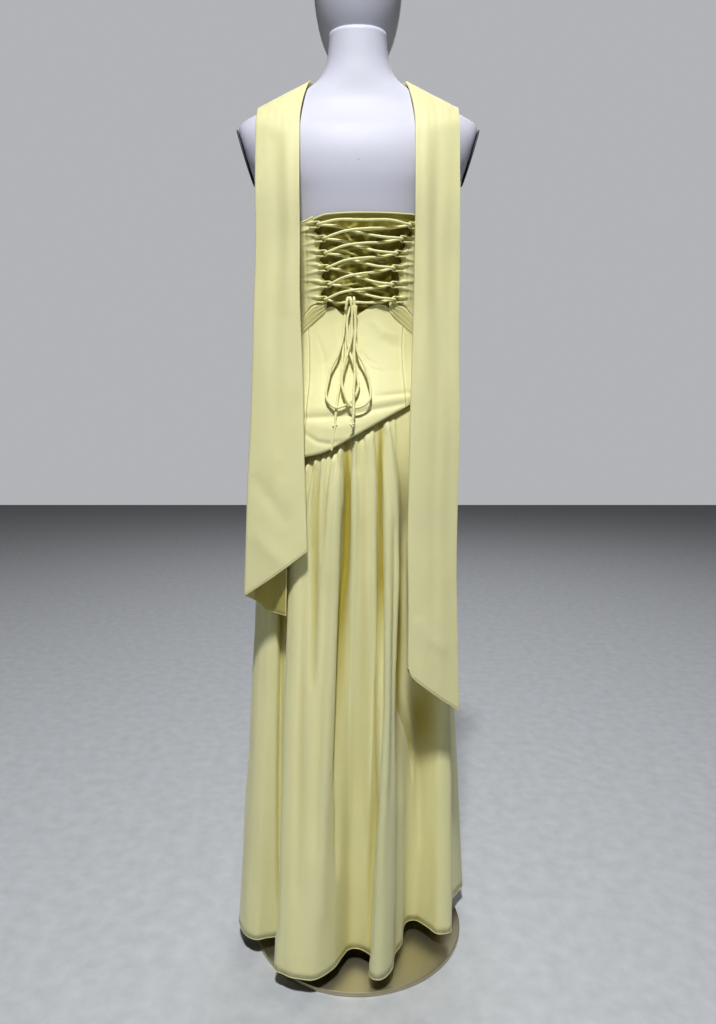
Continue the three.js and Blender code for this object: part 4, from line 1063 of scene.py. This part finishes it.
class MakeForm(bpy.types.Operator):
    """Makes the smooth shell of the dress form: torso, head and the plates where arms would join."""

    bl_idname = "dress.form"
    bl_label = "Dress form"

    def execute(self, context):
        shell = finish_of(context, "form_lacquer")
        upper = np.linspace(FORM_BOTTOM + 5, NECK_TOP, 150)
        heights = np.concatenate([[FORM_BOTTOM, FORM_BOTTOM + 1.5], upper])
        turns = np.linspace(0, 360, 128, endpoint=False)
        points = on_form(turns[None, :], heights[:, None])
        limit = SOCKET["reach"] + SOCKET["lean"] * (heights[:, None] - SOCKET["level"])
        excess = np.abs(points[..., 0]) - limit
        soft = 3.0
        points[..., 0] -= np.sign(points[..., 0]) * soft * np.logaddexp(0, excess / soft)
        points[0, :, :2] *= 0.99
        torso = add_meshes("form_torso_shell", [tube_mesh(points)], shell)
        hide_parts("form_torso")

        lift = np.linspace(-np.pi / 2 + 0.04, np.pi / 2 - 0.04, 70)[:, None]
        turn = np.linspace(0, 2 * np.pi, 96, endpoint=False)[None, :]
        z, low = np.sin(lift), np.maximum(-np.sin(lift), 0)
        plain = np.cos(lift)
        round_off = np.where(z < 0, (1 - low ** HEAD["full"]) ** (1 / HEAD["full"]), plain)
        head = np.stack([HEAD["half"] * round_off * np.sin(turn),
                         HEAD["forward"] + HEAD["lean"] * low - HEAD["deep"] * round_off * np.cos(turn),
                         HEAD["middle"] + z * np.where(z > 0, HEAD["up"], HEAD["down"]) + 0 * turn], axis=-1)
        made = add_meshes("form_head_shell", [tube_mesh(head)], shell)
        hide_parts("form_head")

        for side in (-1, 1):
            lean = np.arctan(SOCKET["lean"])
            edge = SOCKET["plate"] / 2
            profile = [(0, -edge), (0.97, -edge), (1, -edge + 0.4), (1, edge - 0.6), (0.975, edge),
                       (0.3, edge), (0.28, edge - 1.2), (0.14, edge - 1.2), (0.12, edge - 0.2),
                       (0, edge - 0.2)]
            points, faces = lathe(profile, 72)
            local = points * (SOCKET["deep"], SOCKET["tall"], 1)
            out = SOCKET["reach"] + SOCKET["lean"] * (SOCKET["middle"] - SOCKET["level"]) + edge + 2 * SEAM_GAP
            placed = np.stack([
                side * (out + local[:, 2] * np.cos(lean) + local[:, 1] * np.sin(lean)),
                local[:, 0],
                SOCKET["middle"] - local[:, 2] * np.sin(lean) + local[:, 1] * np.cos(lean),
            ], axis=-1)
            made = add_object(f"form_socket_{side_name(side)}_plate", placed, faces,
                              finish_of(context, "socket_plastic"))
            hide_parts(f"form_socket_{side_name(side)}")
        return {"FINISHED"}


class MakeStand(bpy.types.Operator):
    """Makes the mirror-bright base plate and the pole."""

    bl_idname = "dress.stand"
    bl_label = "Stand"

    def execute(self, context):
        rim, top = BASE_DIAMETER / 2, BASE_THICKNESS
        profile = [(0, 0), (rim - 1, 0), (rim, 1), (rim, top - 2), (rim - 0.6, top - 0.6), (rim - 2, top),
                   (0, top)]
        points, faces = lathe(profile, 160)
        base = add_object("stand_base_plate", points, faces, finish_of(context, "stand_mirror"))
        half, foot, head = POLE_DIAMETER / 2, top + SEAM_GAP, FORM_BOTTOM - SEAM_GAP
        profile = [(0, foot), (half + 14, foot), (half + 14, foot + 3), (half + 12, foot + 5),
                   (half + 5, foot + 6), (half + 3.5, foot + 8), (half + 3.5, foot + 34),
                   (half + 2, foot + 36), (half, foot + 36.5), (half, head), (0, head)]
        points, faces = lathe(profile, 64)
        pole = add_object("stand_pole_tube", points, faces, finish_of(context, "stand_pole_steel"))
        for made, node in ((base, "stand_base"), (pole, "stand_pole")):
            made.data.set_sharp_from_angle(angle=np.radians(35))
            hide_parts(node)
        return {"FINISHED"}


# Boning channels and seams of the corset front, as angles round the body.
FRONT_SEAMS = (104, 126, 148, 168, 192, 212, 234, 256)


def edge_roll(name, route, radius, material, squash=0.75):
    """A narrow rolled edge of cloth along a route."""
    rings = tube_rings(curve(route, STEP["roll"]), radius, ROLL_SIDES, squash)
    return satin_object(name, [tube_mesh(rings)], material)


class MakeCorset(bpy.types.Operator):
    """Makes the corset's front and back panels, the bands along the waist and the modesty panel."""

    bl_idname = "dress.corset"
    bl_label = "Corset"

    def execute(self, context):
        sizes = context.scene.dress_sizes
        material = finish_of(context, "dress_satin")

        def front_place(s, t):
            angle = mix(SIDE_SEAM + SEAM_TURN, 360 - SIDE_SEAM - SEAM_TURN, s)
            return on_form(angle, mix(corset_top(angle), waist_height(angle) + SEAM_GAP, t), CORSET_OUT)

        s, t = shares("corset_front")
        points = front_place(s, t)
        angle = mix(SIDE_SEAM + SEAM_TURN, 360 - SIDE_SEAM - SEAM_TURN, s)
        field = 0.35 * ripples(angle * 2, points[..., 2], 60, 3)
        for seam in FRONT_SEAMS:
            across = (angle - seam) * 2.1
            channel = bell(across - 2.6, 1.5) + bell(across + 2.6, 1.5)
            field = field + 0.7 * channel - 0.5 * bell(across, 0.8)
        points = displaced(points, field * np.ones_like(t))
        top = edge_roll("corset_front_edge", points[0], ROLL["corsetFront"], material)
        add_sheet("corset_front_cloth", points, material, sizes.wall, ["corset_front"])

        for side in (-1, 1):
            self.back_panel(context, side, material, sizes)
            self.waist_band(context, side, material, sizes)
        self.modesty_panel(context, sizes)
        return {"FINISHED"}

    def back_panel(self, context, side, material, sizes):
        name = side_name(side)

        def place(s, t):
            angle = side * SIDE_SEAM
            for _ in range(4):
                height = mix(corset_top(angle), waist_height(angle) + band_width(angle) + 2 * BAND_GAP, t)
                edge = back_angle(laced_edge(side, height), height)
                angle = mix(side * (SIDE_SEAM - SEAM_TURN), edge, s)
            return on_form(angle, height, CORSET_OUT)

        s, t = shares("corset_back")
        points = place(s, t)
        height = points[..., 2]
        inset = (points[..., 0] - laced_edge(side, height)) * side
        field = 0.3 * ripples(points[..., 0], height, 45, 5 + side)
        for row in LACING["height"]:
            for finger in (-3.8, 3.8):
                spread = height - row - finger * (1 + 0.035 * inset) - 0.9 * np.sin(row + finger)
                long = 19 + 6 * np.sin(row * 2.3 + finger)
                rise = 2.2 + 0.6 * np.sin(row * 1.7 + finger)
                field = field + rise * bell(spread, 2.5) * bell(inset, long)
            field = field - 1.8 * bell(height - row, 1.6) * bell(inset, 15)
        seam = np.abs(points[..., 0]) - np.where(side < 0, 83, 81)
        field = field + 0.5 * (bell(seam - 3, 1.6) + bell(seam + 3, 1.6)) - 0.7 * bell(seam, 1.0)
        field = (field + 1.2 * bell(inset - 1.2, 1.4)) * smooth(t / RIM_FADE)
        points = displaced(points, field)
        # Painted shade: the panel drawn darker between the two pleats at each loop, in bands above and below
        # the loop, and along the laced edge.
        folds = np.zeros(height.shape)
        for row in LACING["height"]:
            folds -= bell(height - row, 1.7) * bell(inset - 3, 7)
            folds -= 0.7 * bell(np.abs(height - row) - 9, 2.6) * bell(inset, 5)
        folds = np.maximum(folds - 0.8 * bell(inset - 0.5, 1.5), -1)
        top = edge_roll(f"corset_back_{name}_top", points[0], ROLL["corsetBack"], material)
        # The laced edge's roll takes the panel's painted shade satin, drawn dark as if in shade.
        edge = edge_roll(f"corset_back_{name}_edge", points[:, -1], ROLL["laced"],
                         finish_of(context, "painted_shade_panel_satin"))
        add_sheet(f"corset_back_{name}_cloth", points, material, sizes.wall, [f"corset_back_{name}"],
                  folds)

    def waist_band(self, context, side, material, sizes):
        name = side_name(side)

        def place(s, t):
            first = back_angle(side * (WAIST["bend"] - 3.0), np.float64(WAIST["back"]))
            angle = mix(first, side * (SIDE_SEAM - 0.3), s)
            under = 4.5
            high = waist_height(angle) + band_width(angle) + BAND_GAP + under
            low = yoke_top(angle) + BAND_GAP - 2 * under
            tuck = 2.4 * (bell(t, 0.1) + bell(1 - t, 0.14))
            return on_form(angle, mix(high, low, t), CORSET_OUT + WAIST["puff"] * np.sin(np.pi * t) - tuck)

        s, t = shares("waist_band")
        strip = np.mod(4.3 * t**1.1 + 0.2 * s, 1)
        edges = smooth(t * 6) * smooth((1 - t) * 6) * smooth(0.3 + s * 8)
        points = displaced(place(s, t), 3.2 * (1 - strip) * smooth(strip / 0.16) * edges)
        # Painted shade at the foot of each strip of the folded band.
        under = -bell(np.minimum(strip, 1 - strip), 0.12) * np.ones_like(points[..., 0])
        add_sheet(f"waist_band_{name}_cloth", points, material, sizes.wall, [f"waist_band_{name}"],
                  under)

    def modesty_panel(self, context, sizes):
        def place(s, t):
            under = MODESTY["under"]
            across = mix(MODESTY["left"] - 2 * under, MODESTY["right"] + under, s)
            side = 2 * (across - MODESTY["left"]) / (MODESTY["right"] - MODESTY["left"]) - 1
            top = MODESTY["top"] - MODESTY["bow"] * np.minimum(side, 0) ** 2
            top = top - MODESTY["drop"] * smooth((MODESTY["left"] + MODESTY["dropFrom"] - across)
                                                 / MODESTY["dropRun"])
            height = mix(top, MODESTY["bottom"] - under, t)
            return on_back(across + 0 * t, height, MODESTY_OUT + 2.4 * bell(top - height, 4))

        points = place(*shares("modesty_panel"))
        across, height = points[..., 0], points[..., 2]
        field = np.zeros(across.shape)
        for row in range(len(LACING["height"]) - 1):
            high, low = LACING["height"][row], LACING["height"][row + 1]
            left, right = LACING["left"][row:row + 2], LACING["right"][row:row + 2]
            lines = [(1.4, 2.6, [(left[0], high), (right[1], low)]),
                     (1.4, 2.6, [(right[0], high), (left[1], low)]),
                     (1.1, 2.0, [(left[1], low), (mix(left[1], right[0], 0.4), high + 2)]),
                     (-0.8, 2.4, [(right[1], low + 5), (mix(left[1], right[0], 0.5), high - 9)])]
            field += creases(across, height, lines)
        field += creases(across, height, PANEL_CREASES)
        inside = smooth((across - MODESTY["left"] + 4) / 8) * smooth((MODESTY["right"] + 4 - across) / 8)
        field = np.clip(field + 0.5 * ripples(across, height, 20, 11), -1.2, 2.6) * inside
        field = field * smooth((MODESTY["top"] - 10 - height) / 8)
        points = displaced(points, field)
        # Painted shade: the panel drawn darker all over and darkest in its hollows, a little lighter just
        # under its top edge.
        folds = np.clip(field * 0.45 + 0.25 * ripples(across, height, 34, 19) - 0.85, -1, 0)
        folds = folds * (0.35 + 0.65 * smooth((MODESTY["top"] - 6 - height) / 6))
        material = finish_of(context, "painted_shade_panel_satin")
        top = edge_roll("modesty_panel_top", points[0] + (0, -0.4, 0), ROLL["modesty"],
                        finish_of(context, "dress_satin"))
        add_sheet("modesty_panel_cloth", points, material, sizes.wall * 0.8, ["modesty_panel"],
                  folds)


# Sharp folds of the modesty panel where it is pulled between the strands.
PANEL_CREASES = [
    (3.0, 1.8, [(-21, 1252), (-15, 1245), (-11, 1238)]),
    (3.0, 1.8, [(-4, 1250), (4, 1253), (10, 1250), (14, 1242), (18, 1247), (23, 1253)]),
    (2.2, 2.0, [(-44, 1232), (-20, 1224), (10, 1212), (44, 1208)]),
    (2.4, 1.8, [(-38, 1196), (-22, 1206), (-8, 1210), (18, 1214)]),
    (2.2, 1.8, [(-36, 1170), (-24, 1184), (-6, 1190), (14, 1188), (42, 1180)]),
    (2.4, 1.6, [(-30, 1164), (-18, 1172), (2, 1176), (24, 1166), (46, 1162)]),
    (2.0, 1.8, [(-28, 1188), (-20, 1168), (-8, 1156)]),
    (2.2, 1.8, [(8, 1184), (22, 1176), (34, 1172), (47, 1170)]),
    (1.8, 1.6, [(24, 1226), (36, 1216), (50, 1214)]),
]


# Creases of the yoke's back panel: rise (a trough is below nothing), width, and points across and up.
YOKE_CREASES = [
    (-2.2, 5, [(-130, 959), (-81, 961.6), (-25, 964.8), (26.6, 975.4), (80.5, 985.4), (120, 991)]),
    (-1.6, 4, [(26, 995), (55, 998.5), (83, 1001), (120, 1004)]),
    (-1.8, 4.5, [(-90, 941), (-79, 932.4), (-64, 923.6), (-46, 921), (-18, 926)]),
    (1.2, 8, [(-100, 974), (-60, 976), (-10, 980), (50, 990), (110, 1000)]),
    (1.0, 7, [(-85, 950), (-40, 945), (0, 952), (40, 965)]),
    (-0.8, 8, [(38, 1090), (53, 1080), (72, 1076)]),
    (-0.35, 3, [(2, 1068), (18, 1052), (34, 1045)]),
    (-0.3, 3, [(4, 1058), (22, 1040), (44, 1034)]),
    (-0.4, 4, [(-70, 1100), (-55, 1060), (-52, 1020)]),
    (-0.5, 6, [(-66, 1040), (-40, 1060), (-26, 1100)]),
    (0.5, 6, [(20, 1120), (40, 1100), (66, 1092)]),
]
YOKE_FRONT_CREASES = [
    (-2.4, 7, [(-150, 905), (-60, 925), (40, 972), (150, 1010)]),
    (-1.6, 5, [(-120, 880), (-30, 912), (60, 956)]),
    (-1.2, 6, [(-90, 1020), (0, 1010), (90, 1024)]),
]
# How much further out the turned-under edge of the yoke stands than its solid, towards the wearer's left.
YOKE_FLARE = 4.5


class MakeYoke(bpy.types.Operator):
    """Makes the smooth yoke round the hips, with its slanted lower edge turned under."""

    bl_idname = "dress.yoke"
    bl_label = "Yoke"

    def execute(self, context):
        sizes = context.scene.dress_sizes
        material = finish_of(context, "dress_satin")

        def seam(across, nudge):
            return lambda t: back_angle(float(across), mix(YOKE_SEAM_TOP, slant_height(across), t)) + nudge

        def plain(angle):
            return lambda t: angle + 0 * t

        left, right = seam(YOKE_SEAM["left"], SEAM_TURN), seam(YOKE_SEAM["right"], -SEAM_TURN)
        panels = {
            "yoke_back": (left, right),
            "yoke_side_left": (plain(-SIDE_SEAM + SEAM_TURN), seam(YOKE_SEAM["left"], -SEAM_TURN)),
            "yoke_side_right": (seam(YOKE_SEAM["right"], SEAM_TURN), plain(SIDE_SEAM - SEAM_TURN)),
            "yoke_front": (plain(SIDE_SEAM + SEAM_TURN), plain(360 - SIDE_SEAM - SEAM_TURN)),
        }
        for name, (start, end) in panels.items():

            def place(s, t, start=start, end=end):
                angle = mix(start(t), end(t), s)
                height = mix(yoke_top(angle), seam_height(angle), t)
                flare = YOKE_FLARE * smooth((60 - on_form(angle, height)[..., 0]) / 120)
                out = mix(YOKE_OUT, YOKE_EDGE_OUT + flare, smooth((t - 0.35) / 0.65))
                return on_form(angle, height, out)

            s, t = shares(name)
            points = place(s, t)
            x, z = points[..., 0], points[..., 2]
            field = 0.3 * ripples(x + points[..., 1], z, 70, 17)
            if name == "yoke_front":
                field = field + creases(x, z, YOKE_FRONT_CREASES)
            else:
                field = field + creases(x, z, YOKE_CREASES)
            drop = (1 - t) * (z[0] - z[-1])
            edges = np.minimum(s, 1 - s)[0] * (s.size - 1)
            seam_roll = 0.45 * bell(edges - 2, 1.6) * (1 + 0.3 * np.sin(z / 2.2))
            points = displaced(points, field - 1.4 * bell(drop, 1.6) + seam_roll)
            roll = edge_roll(f"{name}_edge", points[-1] + (0, 0, 0.4), ROLL["yokeEdge"], material)
            top = edge_roll(f"{name}_top", points[0], ROLL["yokeTop"], material)
            add_sheet(f"{name}_cloth", points, material, sizes.wall, [name])
        return {"FINISHED"}


def fold_ring():
    """The skirt's folds as points in plan at the hips and the hem, with a few repeated past both ends."""
    plan = {"seam": FOLDS["seam"]}
    for name, turn, radius in (("hip", "hip", "wide"), ("hem", "hem", "reach")):
        angle = np.radians(FOLDS[turn])
        plan[f"{name}X"], plan[f"{name}Y"] = FOLDS[radius] * np.sin(angle), -FOLDS[radius] * np.cos(angle)
    ring = {}
    for name, values in plan.items():
        turn = 360 if name == "seam" else 0
        ring[name] = np.concatenate([values[-3:] - turn, values, values[:3] + turn])
    return ring


def even_angles(start, end, steps):
    """Directions at even steps of length along the yoke's lower seam."""
    fine = np.linspace(start, end, 1441)
    run = lengths(on_form(fine, seam_height(fine), 4))
    return np.interp(np.linspace(0, run[-1], steps + 1), run, fine)


def gather_wave(share, below, across, back):
    """Small gathers just under the seam, each of which dies out at its own depth."""
    number = np.floor(share * GATHERS)
    life = 120 + 90 * np.abs(np.sin(number * 2.4)) + 70 * np.abs(np.sin(number * 0.9 + 1))
    grow = mix(0.8, 3.4, smooth(below / 26))
    wave = grow * bell(np.maximum(below - 20, 0), life) * np.cos(2 * np.pi * (share * GATHERS - 1 / 3))
    wave = wave * (0.75 + 0.35 * np.sin(number * 5.1))
    if not back:
        return wave
    near = smooth((across + 104) / 14) * smooth((96 - across) / 14)
    own = -3.6 * bell(below, 80)
    for x, wide, rise, long in zip(*BACK_GATHERS.values()):
        spread = wide * (1 + below / 240)
        start = 5 + 5 * np.sin(x * 1.7)
        ridge = bell(across - x * (1 + below / 900), spread) * bell(below, long)
        own = own + rise * smooth((below - start) / 22) * ridge
    return mix(wave, own, near)


def skirt_points(name, first):
    """Points of half the skirt, from its top under the yoke to the hem."""
    share, down = shares(name)
    angle = even_angles(first, first + 180, share.size - 1)[None, :]
    down = down**1.25
    top = seam_height(angle) + SKIRT_TUCK
    height = mix(top, HEM_HEIGHT, down)
    below = top - height
    start = on_form(angle, top, SKIRT_OUT)[..., :2]
    ring = fold_ring()
    hip, hem = (np.stack([along(ring, "seam", f"{name}{axis}", angle) for axis in "XY"], axis=-1)
                for name in ("hip", "hem"))
    upper = (below / (top - HIP_HEIGHT))[..., None]
    lower = ((HIP_HEIGHT - height) / (HIP_HEIGHT - HEM_HEIGHT))[..., None]
    spot = np.where(upper < 1, mix(start, hip, upper + 0.4 * upper * (1 - upper)), mix(hip, hem, lower))
    out = spot / np.linalg.norm(spot, axis=-1, keepdims=True)
    back = first < 0
    spot = spot + out * gather_wave(share, below, start[..., 0] + 0 * below, back)[..., None]
    return np.concatenate([spot, height[..., None] * np.ones_like(spot[..., :1])], axis=-1), angle, below


# Painted shadow and shade on the skirt: the shadows under the ends of the scarf's two hanging stretches, then
# the deepest places of three valleys. Across, height, and how far each reaches both ways.
PAINTED_SHADOW_PLACES = [
    (-130, 640, 16, 60), (112, 440, 24, 80), (-18, 850, 4, 90), (36, 880, 4, 90), (68, 560, 5, 140),
]


class MakeSkirt(bpy.types.Operator):
    """Makes the gathered skirt, with its long folds and narrow rolled hem."""

    bl_idname = "dress.skirt"
    bl_label = "Skirt"

    def execute(self, context):
        sizes = context.scene.dress_sizes
        material = finish_of(context, "dress_satin")
        for name, first in (("skirt_back", -90), ("skirt_front", 90)):
            points, angle, below = skirt_points(name, first)
            field = 0.9 * ripples(angle * 2.6, points[..., 2] * 0.22, 46, 23 if first < 0 else 29)
            field = field * smooth(below / 90)
            if first < 0:
                field = field + creases(points[..., 0], points[..., 2], SKIRT_CREASES) * (points[..., 1] < -40)
            points = clear_of_form(displaced(points, field), FORM_CLEAR)
            # Painted shade: the cloth drawn darker in its folds' hollows, less so low down, and darker and
            # cooler on their backs.
            folds = hollows(points, PAINTED_SHADE_OF_FOLDS["reach"], PAINTED_SHADE_OF_FOLDS["full"])
            up = smooth((points[..., 2] - PAINTED_SHADE_OF_FOLDS["lowFrom"]) / PAINTED_SHADE_OF_FOLDS["lowRun"])
            folds = folds * np.where(folds > 0, PAINTED_SHADE_OF_FOLDS["ridge"], mix(PAINTED_SHADE_OF_FOLDS["low"], 1, up))
            if first < 0:
                # Painted shadow where the scarf's ends and the valleys in the table above shade the skirt.
                for across, height, wide, tall in PAINTED_SHADOW_PLACES:
                    near = bell(points[..., 0] - across, wide) * bell(points[..., 2] - height, tall)
                    folds -= PAINTED_SHADE_OF_FOLDS["deep"] * near
            # Painted shadow under the yoke's edge, along the top of the skirt.
            folds -= PAINTED_SHADE_OF_FOLDS["seam"] * bell(below - SKIRT_TUCK, PAINTED_SHADE_OF_FOLDS["yokeShadowWide"])
            folds = np.clip(folds, -1, 1)
            hem = edge_roll(f"{name}_hem", points[-1] + (0, 0, 0.5), sizes.hem / MM,
                            finish_of(context, "lace_satin"))
            seam = stitch_mesh(points[-2], normals(points)[-2], sizes.stitch / MM, 1.9, 0.5, 0.75)
            stitches = satin_object(f"{name}_hem_stitches", [seam], finish_of(context, "lace_satin"))
            add_sheet(f"{name}_cloth", points, material, sizes.wall, [name],
                      folds)
        return {"FINISHED"}


def fall_rows(side):
    """Rows of points of one hanging stretch of the scarf, from the shoulder down, across both layers."""
    name = side_name(side)
    table, ends = FALLS[name], FALL_ENDS[name]
    first, last = {key: values[-1] for key, values in table.items()}, table["height"][0]
    columns_across = [(i / 12, 0) for i in range(12)] + [(0.96, 0), (0.985, 0.06), (1, 0.5), (0.985, 0.94)]
    columns_across += [(1 - SCARF["back"] * i / 6, 1) for i in range(1, 7)]

    def spot(share, layer, row):
        across = share if side < 0 else 1 - share
        if row < len(SHOULDER_STEPS):
            turn = np.radians(SHOULDER_STEPS[row])
            inner = mix(SHOULDER_EDGE["inner"], first["inner"], smooth(row / 3))
            x = mix(inner, mix(SHOULDER_EDGE["outer"], first["outer"], row / 4), across)
            deep = deepest(x, "back") * np.sin(turn)
            lift = SCARF["lift"] - SCARF["layer"] * layer
            crest = SEAM_GAP if row == 0 else 0
            return (side * x, -deep - lift * np.sin(turn) - crest,
                    shoulder_top(x, deep, "back") + lift * np.cos(turn))
        rest = (row - len(SHOULDER_STEPS)) / (FALL_ROWS - 1)
        near = mix(ends["hem"], ends["fold"], share) + ends["curl"] * bell(1 - share, 0.06)
        far = mix(ends["fold"], ends["back"], (1 - share) / SCARF["back"])
        height = mix(SCARF["top"], max(far if layer > 0.5 else near, last), rest)
        pick = {key: along(table, "height", key, np.float64(height)) for key in table}
        bow = 5 * np.sin(np.pi * across) * smooth(rest * 2)
        deep = mix(pick["innerDeep"], pick["outerDeep"], across) + bow
        tuck = SCARF["tuck"] * layer * smooth((rest - 0.6) / 0.4) * smooth((1 - share) / 0.2)
        tuck = tuck * (0.4 + 0.6 * smooth((share - 0.3) / 0.3))
        sway = SCARF["sway"] * (np.sin(height / 47 + side) + 0.6 * np.sin(height / 21)) * smooth(rest * 2)
        return (side * mix(pick["inner"], pick["outer"], across) + sway,
                -deep + SCARF["hang"] * layer * mix(0.6, 1, rest) + tuck, height)

    count = len(SHOULDER_STEPS) + FALL_ROWS
    return np.array([[spot(share, layer, row) for share, layer in columns_across] for row in range(count)])


# Soft creases of the scarf's hanging stretches: rise, width, and points across and up. All rises are
# multiplied by the first value.
FALL_DEPTH = 2.0
FALL_CREASES = {
    -1: [(-1.3, 12, [(-128, 1400), (-126, 1250), (-132, 1080), (-128, 900)]),
         (1.2, 9, [(-112, 1410), (-108, 1250), (-112, 1120)]),
         (-0.8, 13, [(-172, 870), (-140, 830), (-112, 790)]),
         (0.8, 14, [(-176, 780), (-140, 745), (-108, 722)]),
         (-0.8, 11, [(-100, 1000), (-112, 930), (-122, 860)])],
    1: [(-1.4, 11, [(126, 1420), (122, 1250), (128, 1060), (122, 820), (126, 640)]),
        (1.2, 10, [(106, 1400), (108, 1200), (104, 980)]),
        (-1.2, 12, [(146, 1300), (144, 1100), (148, 900), (142, 700)]),
        (0.8, 11, [(96, 640), (120, 600), (150, 580)])],
}


def cowl_rows():
    """Rows of points of the stretch of scarf that hangs across the front."""
    rows = []
    for t in np.linspace(0, 1, 9):
        edge = mix(SHOULDER_EDGE["inner"], SHOULDER_EDGE["outer"], t)
        crest = shoulder_top(edge, 0, "front") + SCARF["lift"]
        drop = mix(COWL["inner"], COWL["outer"], t)
        row = []
        for s in np.linspace(0, 1, 19):
            p = 2 * s - 1
            x = edge * np.sin(p * np.pi / 2)
            height = crest - drop * (1 - np.abs(np.sin(p * np.pi / 2)) ** 2.4)
            body = max(form_depth(x, height, "front"), form_depth(x, height - 30, "front"))
            hang = smooth((1 - abs(p)) * 3)
            fold = COWL["fold"] * np.sin(2 * np.pi * COWL["folds"] * t + 2 * p) * hang
            deep = SEAM_GAP if abs(p) == 1 else body + mix(SCARF["lift"], COWL["clear"] + 10 * t, hang) + fold
            row.append((x, deep, height))
        rows.append(row)
    return np.array(rows)


class MakeScarf(bpy.types.Operator):
    """Makes the long scarf: a cowl across the front and a doubled end down each side of the back."""

    bl_idname = "dress.scarf"
    bl_label = "Scarf"

    def execute(self, context):
        sizes = context.scene.dress_sizes
        material = finish_of(context, "scarf_satin")
        thread = finish_of(context, "lace_satin")
        for side in (-1, 1):
            name = f"scarf_fall_{side_name(side)}"
            points = refine(fall_rows(side), "scarf_fall")
            x, z = points[..., 0], points[..., 2]
            field = FALL_DEPTH * creases(x, z, FALL_CREASES[side]) * smooth((1440 - z) / 60)
            field += 0.5 * ripples(x, z * 0.3, 38, 31 + side)
            points = points + np.stack([0 * field, -field, 0 * field], axis=-1) * (points[..., 1:2] < 0)
            rolls = [
                edge_roll(f"{name}_end_hem", points[-1], ROLL["scarfEnd"], material),
                edge_roll(f"{name}_side_hem", points[:, 0], ROLL["scarfSide"], material),
                edge_roll(f"{name}_far_hem", points[:, -1], ROLL["scarfSide"], material),
            ]
            out = normals(points)
            rows = [stitch_mesh(points[:, 2], out[:, 2], sizes.stitch / MM, 1.7, 0.4, 0.6),
                    stitch_mesh(points[-3], out[-3], sizes.stitch / MM, 1.7, 0.4, 0.6)]
            stitches = satin_object(f"{name}_stitches", rows, thread)
            # Painted shade: the far layer drawn darker, as if the near layer shaded it.
            inner = shares("scarf_fall")[0]
            turned = smooth((inner - FAR_LAYER["from"]) / FAR_LAYER["run"])
            folds = FAR_LAYER["fold"] * turned * np.ones_like(x)
            add_sheet(f"{name}_cloth", points, material, sizes.scarf_wall, [name],
                      folds)
        points = refine(cowl_rows(), "scarf_front")
        rolls = [edge_roll(f"scarf_front_hem_{i}", points[row], ROLL["scarfSide"], material)
                 for i, row in enumerate((0, -1))]
        add_sheet("scarf_front_cloth", points, material, sizes.scarf_wall, ["scarf_front"])
        return {"FINISHED"}


class MakeStage(bpy.types.Operator):
    """Makes the plain pale floor and the soft studio light."""

    bl_idname = "dress.stage"
    bl_label = "Studio"

    def execute(self, context):
        scene, studio = context.scene, context.scene.dress_studio
        scene.view_settings.view_transform = "Standard"
        scene.view_settings.look = "Medium High Contrast"
        half = 6.0
        corners = [(-half, -half, 0), (half, -half, 0), (half, half, 0), (-half, half, 0)]
        mesh = bpy.data.meshes.new("studio_floor")
        mesh.from_pydata(corners, [], [(0, 1, 2, 3)])
        mesh.materials.append(finish_of(context, "studio_floor"))
        floor = bpy.data.objects.new("studio_floor", mesh)
        context.collection.objects.link(floor)

        world = bpy.data.worlds.new("studio_light")
        world.use_nodes = True
        tree = world.node_tree
        tree.nodes.clear()
        shade = Shade(tree)
        seen = shade.node("ShaderNodeLightPath")
        dim = shade.node("ShaderNodeBackground", {}, {"Color": (1, 1, 1, 1), "Strength": studio.around})
        wall = shade.node("ShaderNodeBackground", {}, {"Color": tuple(context.scene.dress_colours.wall)})
        sky = shade.node("ShaderNodeMixShader", {}, {0: seen, 1: dim, 2: wall})
        shade.node("ShaderNodeOutputWorld", {}, {"Surface": sky})
        scene.world = world

        lights = (
            ("key_light", studio.key_place, (0, 0, 1.0), studio.key_power, studio.key_size),
            ("fill_light", studio.fill_place, (0, 0, 0.7), studio.fill_power, studio.fill_size),
            ("back_light", studio.back_place, (0, 0, 0.9), studio.back_power, studio.back_size),
        )
        for name, place, target, power, size in lights:
            light = bpy.data.lights.new(name, "AREA")
            light.energy, light.size = power, size
            placed = bpy.data.objects.new(name, light)
            placed.location = place
            placed.rotation_euler = (Vector(target) - Vector(place)).to_track_quat("-Z", "Y").to_euler()
            context.collection.objects.link(placed)
        return {"FINISHED"}


class DressPanel(bpy.types.Panel):
    """Lists the steps, sizes and colours of the dress."""

    bl_idname = "VIEW3D_PT_dress"
    bl_label = "Dress"
    bl_space_type = "VIEW_3D"
    bl_region_type = "UI"
    bl_category = "Dress"

    def draw(self, context):
        for step in STEPS:
            self.layout.operator(step.bl_idname)
        for group in (context.scene.dress_sizes, context.scene.dress_colours, context.scene.dress_studio):
            box = self.layout.box()
            for name in group.__annotations__:
                box.prop(group, name)


STEPS = (MakeCamera, MakeBow, MakeLacing, MakeForm, MakeStand, MakeCorset, MakeYoke, MakeSkirt, MakeScarf,
         MakeStage)
GROUPS = (("dress_sizes", DressSizes), ("dress_colours", DressColours), ("dress_studio", DressStudio))


def register():
    for _, group in GROUPS:
        bpy.utils.register_class(group)
    for name, group in GROUPS:
        setattr(bpy.types.Scene, name, PointerProperty(type=group))
    for made in (*STEPS, DressPanel):
        bpy.utils.register_class(made)


def unregister():
    for made in (DressPanel, *STEPS[::-1]):
        bpy.utils.unregister_class(made)
    for name, group in GROUPS[::-1]:
        delattr(bpy.types.Scene, name)
        bpy.utils.unregister_class(group)


def main():
    register()
    for step in STEPS:
        area, name = step.bl_idname.split(".")
        getattr(getattr(bpy.ops, area), name)()


if __name__ == "__main__":
    main()
